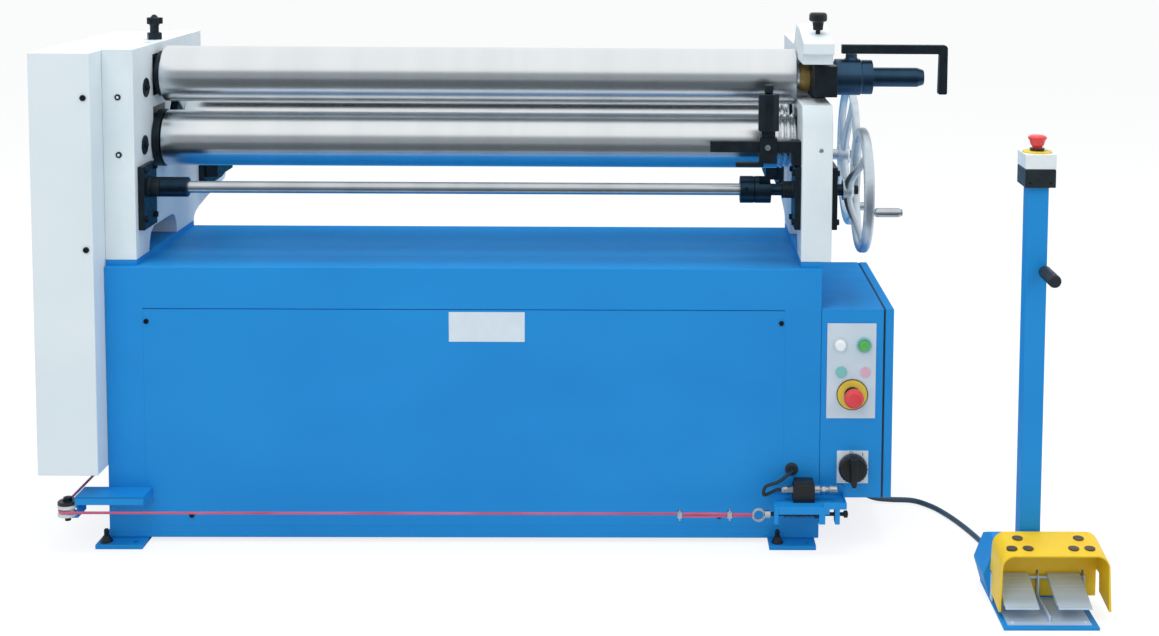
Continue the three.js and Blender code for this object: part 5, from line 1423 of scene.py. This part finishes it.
    def _main_switch(self) -> None:
        """Builds the main switch: a square plate marked 0 and 1 and a round knob with a pointer."""
        x, z = self.switch
        plate = Solid().box((x - 33, x + 33), (-2, 0.2), (z - 35, z + 35), 0.5)
        plate.piece("main_switch_plate", LABEL, "ebox_body")
        marks = Solid().turned(Axis.Y, ring_profile(2.4, 3.6, -1.8, -2.2), x - 3,
                               z + 30.6, 24)
        marks.box((x + 20.4, x + 21.8), (-2.2, -1.8), (z + 24, z + 31))
        marks.piece("main_switch_marks", BLACK_PLASTIC, "ebox_body")
        knob = Solid().turned(Axis.Y, [(0, -2.4), (30, -2.4), (29.4, -19), (26, -22), (0, -22)], x, z, 80,
                              1.8)
        knob.rods(Axis.Y, 1.5, (-18, -4), around(self.switch, 28.9, 24), 0.6, 10)
        outline = [(x - 8, z + 24), (x - 6, z + 27), (x + 6, z + 27), (x + 8, z + 24), (x + 5.5, z - 30),
                   (x + 3, z - 34), (x - 3, z - 34), (x - 5.5, z - 30)]
        knob.prism(Axis.Y, outline, (-36, -12), 1.8, 3)
        knob.piece("main_switch_knob", BLACK_PLASTIC, "switch_knob")


@dataclass
class TripLine:
    """The trip wire along the front, its pulley, its sprung rod and its limit switch."""

    y: float = -60.0
    z: float = 86.0
    wire: float = 2.75
    pulley: Pair = (-70.0, -43.25)
    bend: float = 16.75
    wire_end: float = 1196.0
    ring_x: float = 1360.0
    spring_x: Pair = (1400.0 + 9 + 1.4, 1475.0 - 1.4)
    spring_turns: int = 13
    spring_radius: float = 6.5
    spring_wire: float = 1.1
    eye_radius: float = 12.0
    switch_axis: Pair = (-34.0, 128.0)
    switch_gland: float = 1408.0
    lead: float = 3.5
    shelf_left: float = 1400.0

    def build(self) -> None:
        """Builds the wire, its fittings and the switch."""
        softened("pulley_bracket", "pulley_arm", BLUE, 0.9, 8.0)
        softened("switch_bracket", "limit_switch_shelf", BLUE, 0.9, 8.0)
        self._flanges()
        self._pulley()
        self._wire()
        self._rod()
        self._spring()
        self._switch()
        self._lead()

    def _flanges(self) -> None:
        """Builds the folded front edges of the pulley's arm and the switch's shelf."""
        front, sheet, top = self.y, 2.6, self.z + 33
        arm = Solid().box((-50, 91), (front, front + sheet), (top - 17, top - 0.1), 0.9)
        arm.box((91 - sheet, 90.9), (front + 0.2, -3.1), (top - 17, top - 0.2), 0.9)
        arm.box((-47.2, 0.5), (-3.2, -0.4), (self.z - 2, top - 0.2), 0.6)
        arm.piece("pulley_arm_flange", BLUE, "pulley_bracket")
        left, front = self.shelf_left, self.y - 12
        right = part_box("switch_bracket")[1][0] / MM + CORNER_MM.x
        shelf = Solid().box((left, left + 105.9), (front - 0.1, front + sheet), (self.z + 3, self.z + 18.9),
                            0.9)
        shelf.box((left + 93.1, right), (front - 0.2, front + sheet), (self.z + 14, self.z + 27.5), 0.9)
        shelf.box((right - sheet, right - 0.1), (front + 0.3, -4.5), (self.z + 18, self.z + 27.4), 0.9)
        shelf.piece("switch_shelf_flange", BLUE, "switch_bracket")

    def _pulley(self) -> None:
        """Builds the pulley with its black cap and bolt."""
        z, node = self.z, "pulley_wheel"
        profile = [(6.6, z - 11), (20, z - 11), (20, z - 6), (13.7, z - 2.5), (13.7, z + 2.5), (20, z + 6),
                   (20, z + 13), (6.6, z + 13), (6.6, z - 11)]
        Solid().turned(Axis.Z, profile, *self.pulley, 64, 1.0).piece("pulley_sheave", GREY_PLASTIC, node)
        cap = [(9.8, z + 13), (20, z + 13), (20, z + 18.5), (18, z + 20), (9.8, z + 20), (9.8, z + 13)]
        Solid().turned(Axis.Z, cap, *self.pulley, 64, 0.8).piece("pulley_cap", BLACK_PLASTIC, node)
        bolt = Solid().prism(Axis.Z, hexagon(*self.pulley, 9.2), (z + 20.3, z + 27.2), 0.9)
        bolt.rod(Axis.Z, 6.1, (z - 22.2, z - 15), *self.pulley)
        SMALL_HEAD.into(bolt, Axis.Y, -3.3, -1, 34, z + 15)
        SMALL_HEAD.into(bolt, Axis.Y, -3.3, -1, 76, z + 15)
        bolt.piece("pulley_bolts", SCREW_STEEL, "pulley_bracket")

    def _wire(self) -> None:
        """Builds the sheathed wire round the pulley."""
        route = [(self.pulley[0] - self.bend, 414.6), *arc(self.pulley, self.bend, 180, 270, 12),
                 *[(x, self.y) for x in (200, 600, 1000, self.wire_end)]]
        wire = Solid().tube([(x, y, self.z) for x, y in route], self.wire, 20)
        wire.piece("sheathed_trip_wire", WIRE, "trip_wire")

    def _rod(self) -> None:
        """Builds the wire's doubled end, its clips, the eye bolt, the collar and the nuts."""
        y, z, lower = self.y, self.z, self.z - 5.0
        ring_left = self.ring_x - self.eye_radius
        tails = Solid().tube([(self.wire_end + 8, y, z), (1250, y, z + 0.4), (1320, y, z - 1),
                              (ring_left + 2, y, z - 1.5)], self.wire, 16)
        tails.tube([(self.wire_end - 2, y, lower), (1250, y, lower - 0.6), (1320, y, lower + 1.4),
                    (ring_left + 3, y, lower + 1.5)], self.wire, 16)
        tails.piece("trip_wire_end", WIRE, "trip_rod")
        fittings = Solid()
        for x in (self.wire_end, 1299.5):
            fittings.box((x - 5, x + 5), (y - 5.6, y + 5.6), (lower - 3.6, z + 5.6), 2.0, 3)
            for side in (-3.4, 3.4):
                fittings.rod(Axis.Z, 1.7, (lower - 8, z + 10), x, y + side, 0.5, 16)
                fittings.prism(Axis.Z, hexagon(x, y + side, 3.0), (z + 5.4, z + 8.4), 0.4)
        loop = [(a, y, b) for a, b in around((self.ring_x, z - 2), self.eye_radius, 48)]
        fittings.tube(loop, 2.9, 18, True)
        fittings.prism(Axis.X, hexagon(y, z, 8), (1372, 1384), 1.0)
        fittings.piece("wire_clips_and_eye", ZINC_FITTING, "trip_rod")
        rod = Solid().rod(Axis.X, 4, (1371, 1545), y, z, 0.8, 32)
        rod.turned(Axis.X, bar_profile(9, 1475, 1483), y, z, 40, 0.8)
        rod.prism(Axis.X, hexagon(y, z, 7.6), (1536, 1544), 0.8)
        rod.piece("trip_pull_rod", SCREW_STEEL, "trip_rod")

    def _spring(self) -> None:
        """Builds the compression spring on the rod."""
        start, end = self.spring_x
        coil = around((self.y, self.z), self.spring_radius, 24)
        steps = len(coil) * self.spring_turns
        path = [(start + (end - start) * i / steps, *coil[i % len(coil)]) for i in range(steps + 1)]
        Solid().tube(path, self.spring_wire, 10).piece("pull_rod_spring", BLACK_STEEL, "trip_spring")

    def _switch(self) -> None:
        """Builds the limit switch: a moulded body, its lid, its gland and its plunger head."""
        y, z = self.switch_axis
        body = Solid().box((1432, 1477), (y - 15, y + 15), (105.3, 141), 2.0, 3)
        body.box((1434, 1475), (y - 14, y + 14), (140, 150), 2.4, 3)
        body.piece("limit_switch_body", BLACK_PLASTIC, "limit_switch")
        metal = Solid().prism(Axis.X, hexagon(y, z, 10.0, 15), (1420, 1432.5), 1.0)
        metal.turned(Axis.X, [(0, 1408), (6.5, 1408), (8.8, 1412), (8.8, 1421), (0, 1421)], y, z, 40, 1.0)
        head = [(0, 1476), (10, 1476), (10, 1488), (7, 1491), (7, 1506), (9.5, 1508), (9.5, 1524),
                (7.5, 1525), (0, 1525)]
        metal.turned(Axis.X, head, y, z, 48, 0.9)
        metal.prism(Axis.X, hexagon(y, z, 9.8), (1493, 1500), 0.8)
        metal.piece("limit_switch_fittings", ZINC_FITTING, "limit_switch")

    def _lead(self) -> None:
        """Lays the switch's lead from its gland to the cabinet's grommet."""
        start = self.switch_gland - FACE
        points = [(1432, -4.3, 160), (1432, -12, 160), (1424, -25, 158), (1402, -38, 146),
                  (start - 34, -42, 136), (start - 36, -42, 120), (start - 22, -36, 122),
                  (start - 8, -34, 128), (start, -34, 128)]
        lay_cord("limit_switch_lead", "switch_lead", points, self.lead, BLACK_RUBBER)


def lay_cord(name: str, node: str, points: Sequence[Triple], radius: float, finish: Finish) -> None:
    """Args:
        name: The cord's name.
        node: The CAD node that it stands for.
        points: The route's points in millimetres.
        radius: The cord's radius in millimetres.
        finish: Its sheath.
    """
    path = route_of(points)
    cord = Solid().tube(path, radius, 20).piece(name, finish, node)


@dataclass
class PedalStation:
    """The two-pedal foot station with its guard, its post and its stop box."""

    base_x: Pair = (1795.0, 1975.0)
    base_y: Pair = (-410.0, -188.0)
    wall_y: float = -281.7
    hinge: Pair = (-291.0, 52.0)
    pedal_lefts: Pair = (1803.0, 1903.0)
    pedal_width: float = 64.0
    pedal_rise: float = 28 / 99
    rib_pitch: float = 5.6
    post: Pair = (1872.0, -255.0)
    post_top: float = 812.0
    cable: float = 5.75

    def build(self) -> None:
        """Builds the station from the floor up."""
        self._base()
        self._pedals()
        self._guard()
        self._post()
        self._stop_box()
        self._cable()

    def _base(self) -> None:
        """Builds the base plate, the housing behind the pedals and the tread plate."""
        left, right = self.base_x
        Solid().box(self.base_x, self.base_y, (0, 6), 1.4, 3).piece("pedal_base", BLUE, "pedal_stand")
        outline = [(left, 5), (right, 5), (right + 14, 52), (right - 10, 116), (left + 10, 116),
                   (left - 14, 52)]
        slope = Solid().prism(Axis.X, [(-230.5, 118), (-180, 118), (-180, 96.6)], (left - 30, right + 30))
        housing = Solid().prism(Axis.Y, outline, (self.wall_y, self.base_y[1]), 2.2, 3).carved(
            "pedal_housing", [slope])
        dress(housing, BLUE, "pedal_stand")
        tread = Solid().box((left + 9, right - 13), (self.base_y[0] + 9, self.wall_y), (5.8, 8), 0.6)
        tread.box((1883, 1887), (-392, -303), (7, 20), 1.6, 3)
        for x in (left, 1883.5, right - 3):
            tread.box((x, x + 3), (-299, self.wall_y), (6, 58), 0.6)
        tread.rod(Axis.X, 3, (left + 1, right - 1), *self.hinge, 0.4, 24)
        for x in (left + 20, right - 24):
            tread.turned(Axis.Z, [(0, 7), (4.2, 7), (4.0, 9.2), (2.4, 10.2), (0, 10.4)], x, -392, 28)
        tread.piece("tread_plate", ZINC, "pedal_stand")

    def _pedals(self) -> None:
        """Builds the two sloping pedals with their folded sides and cross ribs."""
        hinge_y, hinge_z = self.hinge
        for side, left in zip(("left", "right"), self.pedal_lefts):
            right = left + self.pedal_width
            outline = [(-386, 29), (-386, 32), (hinge_y + 4, 60), (hinge_y + 4, 57)]
            skirt = [(-366, 29), (-366, 36), (hinge_y + 4, 59), (hinge_y + 4, 51)]
            pedal = Solid().prism(Axis.X, outline, (left, right), 0.9, 3)
            for x in (left, right - 2):
                pedal.prism(Axis.X, skirt, (x, x + 2), 0.5)
            barrel = ring_profile(3.3, 6, left + 1, right - 1)
            pedal.turned(Axis.X, barrel, hinge_y, hinge_z, 40, 0.5)
            for i in range(16):
                y = -378 + self.rib_pitch * i
                z = 32 + (y + 386) * self.pedal_rise
                pedal.prism(Axis.X, [(y - 1.3, z - 0.6), (y, z + 0.15), (y + 1.3, z + 0.1)],
                            (left + 3, right - 3))
            pedal.piece(f"foot_pedal_{side}", ZINC, f"pedal_{side}")

    @staticmethod
    def _guard_outline(inset: float) -> list[Pair]:
        """Gives the guard's section across the pedals, `inset` inside its outer skin."""
        left, right, top, foot, corner, flare = 1797.0, 2003.0, 127.0, 18.0, 26.0, 4.0
        bottom = foot - 60 if inset else foot
        size = corner - inset
        points = [(left - flare + inset, bottom), (right + flare - inset, bottom)]
        points += arc((right - corner, top - corner), size, 0, 90, 10)
        points += arc((left + corner, top - corner), size, 90, 180, 10)
        return points

    def _guard(self) -> None:
        """Builds the moulded hood with its arched sides and its six rubber plugs."""
        front, back, foot, slope, wall = -370.0, -282.0, 18.0, 0.136, 3.0
        hood = Solid().prism(Axis.Y, self._guard_outline(0.0), (front, back), lift=slope)
        inner = Solid().prism(Axis.Y, self._guard_outline(wall), (front - 2, back - wall), lift=slope)
        wide = (1780.0, 2020.0)
        cuts = [inner, Solid().box(wide, (back - wall - 1, back + 2), (-10, 58)),
                Solid().rod(Axis.X, 54, wide, front + 70, foot - 8, 0.0, 96),
                Solid().box(wide, (front + 70, back + 2), (-10, foot + 46))]
        guard = hood.carved("pedal_hood", cuts)
        guard = dress(guard, YELLOW, "pedal_guard", 38)
        ease = guard.modifiers.new("eased_edges", "BEVEL")
        ease.width = 1.0 * MM
        ease.segments = 3
        ease.limit_method = "ANGLE"
        ease.angle_limit = math.radians(40)
        walls = Solid()
        for near, far in ((1798.6, 1883.0), (1887.0, 1971.6), (1975.4, 2000.0)):
            walls.box((near, far), (back - 2.4, back + 0.1), (12, foot + 50), 0.6)
        walls.piece("hood_back_wall", YELLOW, "pedal_guard")
        plugs = Solid()
        for side in (0.1, 0.67):
            for across, along in ((0.11, 0.72), (0.02, 0.3), (0.17, 0.3)):
                x, y = 1797 + 206 * (side + across), front + 88 * along
                z = 127 + slope * (y - front)
                plugs.turned(Axis.Z, [(0, z - 4), (10.3, z - 4), (10.3, z + 1.6), (8, z + 1.9), (0, z + 1.4)],
                             x, y, 40, 0.6)
        plugs.piece("hood_plugs", PLUG, "pedal_guard")

    def _post(self) -> None:
        """Builds the square post and its round handle."""
        x, y = self.post
        post = Solid().box((x - 20, x + 20), (y - 20, y + 20), (115, self.post_top), 2.6, 4)
        post.piece("station_post", BLUE, "pedal_stand")
        front = y - 20
        profile = [(0, front - 92), (10.5, front - 92), (12.5, front - 89), (12.5, front - 12),
                   (6, front - 10), (6, front + 1), (0, front + 1)]
        handle = Solid().turned(Axis.Y, profile, x + 13, 650, 64, 1.6)
        handle.piece("station_handle", BLACK_RUBBER, "pedal_stand")

    def _stop_box(self) -> None:
        """Builds the two-tone stop box and its mushroom head."""
        x, y = self.post
        bottom = self.post_top
        lower = Solid().box((x - 29.5, x + 29.5), (y - 34, y + 34), (bottom + FACE, bottom + 35), 1.6, 3)
        for sx in (-1, 1):
            CapScrew(3.4, 1.0).into(lower, Axis.Y, y - 33.6, -1, x + 20 * sx, bottom + 10)
        lower.turned(Axis.Y, bar_profile(5.4, y - 33, y - 34.6), x, bottom + 17, 32, 0.5)
        lower.box((x - 28.3, x + 28.3), (y - 32.8, y + 32.8), (bottom + 34, bottom + 37))
        lower.piece("stop_box_lower", BOX_BLACK, "stop_box")
        upper = Solid().box((x - 29.5, x + 29.5), (y - 34, y + 34), (bottom + 36, bottom + 64), 1.6, 3)
        upper.piece("stop_box_upper", BOX_WHITE, "stop_box")
        disc = Solid().turned(Axis.Z, [(0, bottom + 63), (28, bottom + 63), (28, bottom + 66.4),
                                       (26, bottom + 67), (0, bottom + 67)], x, y, 80, 0.6)
        disc.piece("stop_box_disc", YELLOW_DISC, "stop_box")
        collar = ring_profile(9.4, 14, bottom + 68, bottom + 72)
        Solid().turned(Axis.Z, collar, x, y, 48, 0.5).piece("stop_box_collar", BOX_BLACK, "stop_box")
        cap = [(0, bottom + 65), (9, bottom + 65), (9, bottom + 74), (12.5, bottom + 78), (15, bottom + 87),
               (18, bottom + 91), (17.8, bottom + 93.5), (13, bottom + 96.4), (0, bottom + 97)]
        Solid().turned(Axis.Z, cap, x, y, 80, 1.4).piece("stop_mushroom", RED, "stop_cap")

    def _cable(self) -> None:
        """Lays the cable from the switch box to the back of the housing."""
        gland_x, gland_y, floor, entry = 1600.3, 231.0, 6.3, 1850.0
        points = [(gland_x, gland_y, 77.7), (gland_x, gland_y, 62), (gland_x + 4, gland_y, 42),
                  (gland_x + 17, gland_y, 21), (gland_x + 40, gland_y, floor + 4),
                  (gland_x + 74, gland_y, floor), (1727, 224, floor), (1762, 190, floor), (1788, 141, floor),
                  (1812, 75, floor), (1832, 0, floor), (entry - 4, -70, floor), (entry, -120, floor + 4),
                  (entry, -163, 18), (entry, -187.7, 20)]
        lay_cord("pedal_station_cable", "pedal_cable", points, self.cable, CABLE)


@dataclass
class Studio:
    """The camera, the pale floor, the lamps, the steel's reflection cards and two cards of painted sheen and
    shade.
    """

    eye: Triple = (1137.3, -3281.1, 1348.0)
    yaw: float = 0.8
    pitch: float = 4.6
    roll: float = 0.4
    lens: float = 49.7
    sensor: float = 36.0
    shift: Pair = (-0.0836, -0.2477)
    soft_light: float = 0.62

    def camera(self) -> None:
        """Sets the camera as the photograph's."""
        data = bpy.data.cameras.new("camera")
        data.lens = self.lens
        data.sensor_width = self.sensor
        data.sensor_fit = "HORIZONTAL"
        data.shift_x, data.shift_y = self.shift
        yaw, pitch, roll = [math.radians(v) for v in (self.yaw, self.pitch, self.roll)]
        ahead = Vector((math.sin(yaw) * math.cos(pitch), math.cos(yaw) * math.cos(pitch), -math.sin(pitch)))
        right = Vector((math.cos(yaw), -math.sin(yaw), 0))
        up = right.cross(ahead)
        right, up = (right * math.cos(roll) + up * math.sin(roll),
                     up * math.cos(roll) - right * math.sin(roll))
        camera = put("camera", data)
        camera.matrix_world = Matrix((right, up, -ahead)).transposed().to_4x4()
        camera.matrix_world.translation = place(*self.eye)
        bpy.context.scene.camera = camera

    def build(self) -> None:
        """Builds the world, the floor, the lamps and the cards."""
        bpy.context.scene.view_settings.view_transform = "Standard"
        self._world()
        self._floor()
        self._lamp("key_softbox", (-1.6, -3.4, 3.6), (0.0, 0.0, 0.6), 2.6, 48.0)
        self._lamp("fill_softbox", (3.2, -2.8, 2.4), (0.2, 0.0, 0.6), 2.2, 24.0)
        self._lamp("top_softbox", (0.0, 0.4, 4.2), (0.0, 0.1, 0.0), 3.0, 110.0)
        self._card("front_card", (0.0, -5.4, 1.35), (14.0, 2.7), 90.0, "#969ca0")
        self._card("floor_card", (0.0, -2.6, 0.003), (9.0, 4.0), 0.0, "#5c6266")
        # Painted blue sheen: a blue card behind the cabinet, seen only in reflections, tints the top faces of
        # the cabinet and frames.
        self._card("blue_sheen_card", (-0.1, 0.74, 0.475), (2.4, 0.95), 90.0, "#3d93cf")
        # Painted shade: a dark card lying over the rear roll, seen only in reflections, darkens the gap
        # between the rolls.
        self._card("gap_shade_card", (-0.178, 0.175, 1.0), (1.36, 0.09), 0.0, "#1a2630")

    def _world(self) -> None:
        """Lights the room softly, with white behind it for the camera and for metal."""
        world = bpy.data.worlds.new("studio_room")
        bpy.context.scene.world = world
        tree = blank_tree(world)
        rays = add_node(tree, "ShaderNodeLightPath")
        camera, metal, glass = [rays.outputs[f"Is {kind} Ray"]
                                for kind in ("Camera", "Glossy", "Transmission")]
        seen = add_node(tree, "ShaderNodeMath", links={0: camera, 1: metal}, operation="MAXIMUM")
        seen = add_node(tree, "ShaderNodeMath", links={0: seen.outputs[0], 1: glass}, operation="MAXIMUM")
        strength = add_node(tree, "ShaderNodeMapRange", {"To Min": self.soft_light, "To Max": 1.0},
                            {"Value": seen.outputs[0]})
        light = add_node(tree, "ShaderNodeBackground", {"Color": linear("#ffffff")},
                         {"Strength": strength.outputs["Result"]})
        add_node(tree, "ShaderNodeOutputWorld", links={"Surface": light.outputs["Background"]})

    def _floor(self) -> None:
        """Lays a plain pale floor that keeps the machine's shadow."""
        bpy.ops.mesh.primitive_plane_add(size=60)
        floor = bpy.context.object
        floor.name = "studio_floor"
        material = bpy.data.materials.new("painted_studio_floor")
        tree = blank_tree(material)
        rays = add_node(tree, "ShaderNodeLightPath")
        paint = add_node(tree, "ShaderNodeBsdfDiffuse", {"Color": linear("#e4e6e7")})
        faint = add_node(tree, "ShaderNodeBsdfDiffuse", {"Color": linear("#8a8c8e")})
        glow = add_node(tree, "ShaderNodeEmission", {"Color": linear("#ffffff"), "Strength": 0.8})
        both = {0: faint.outputs["BSDF"], 1: glow.outputs["Emission"]}
        seen = add_node(tree, "ShaderNodeAddShader", links=both)
        mix = add_node(tree, "ShaderNodeMixShader", links={
            0: rays.outputs["Is Camera Ray"], 1: paint.outputs["BSDF"], 2: seen.outputs["Shader"]})
        add_node(tree, "ShaderNodeOutputMaterial", links={"Surface": mix.outputs["Shader"]})
        floor.data.materials.append(material)

    @staticmethod
    def _lamp(name: str, where: Triple, aim: Triple, size: float, power: float) -> None:
        """Hangs one square softbox.

        Args:
            name: The lamp's name.
            where: Its place, in metres.
            aim: What it points at.
            size: Its side, in metres.
            power: Its power, in watts.
        """
        data = bpy.data.lights.new(name, "AREA")
        data.size = size
        data.energy = power
        lamp = put(name, data)
        lamp.location = where
        lamp.visible_glossy = False  # the rolls mirror the bright room, not the lamps
        lamp.rotation_euler = (Vector(where) - Vector(aim)).to_track_quat("Z", "Y").to_euler()

    @staticmethod
    def _card(name: str, where: Triple, size: Pair, tilt: float, colour: str) -> None:
        """Stands a card that only polished surfaces show.

        Args:
            name: The card's name.
            where: Its middle, in metres.
            size: Its width and height, in metres.
            tilt: How far it is raised from lying flat, in degrees.
            colour: Its sRGB colour.
        """
        bpy.ops.mesh.primitive_plane_add(size=1, location=where, rotation=(math.radians(tilt), 0, 0))
        card = bpy.context.object
        card.name = name
        card.scale = (size[0], size[1], 1)
        material = bpy.data.materials.new(f"{name}_paper")
        tree = blank_tree(material)
        glow = add_node(tree, "ShaderNodeEmission", {"Color": linear(colour), "Strength": 1.0})
        add_node(tree, "ShaderNodeOutputMaterial", links={"Surface": glow.outputs["Emission"]})
        card.data.materials.append(material)
        card.visible_camera = False
        card.visible_diffuse = False
        card.visible_shadow = False
        card.visible_transmission = False


FRONT_WHEEL = Handwheel("front_wheel", "front_handwheel", "front_grip", (72.0, 742.0), (1538.0, 1562.0),
                        1580.0, 122.0, 12.0, 21.0, 24.0, 192.0, 9.5, 53.0)
REAR_WHEEL = Handwheel("rear_wheel", "rear_handwheel", "rear_grip", (560.0, 741.0), (1585.0, 1613.0), 1611.0,
                       161.0, 10.0, 24.0, 26.0, -62.0, 10.0, 60.0)


def main() -> None:
    """Builds the machine's looks and its studio in order."""
    logging.basicConfig(level=logging.INFO, format="%(name)s %(message)s")
    studio = Studio()
    studio.camera()
    for assembly in (PedalStation(), TripLine(), Cabinet(), SideFrames(), Rolls(), ReleaseLever(),
                     Adjusters(), FRONT_WHEEL, REAR_WHEEL, Knobs(), EdgeGuide(), SwitchBox(), studio):
        log.info("building %s", type(assembly).__name__)
        assembly.build()


if __name__ == "__main__":
    main()
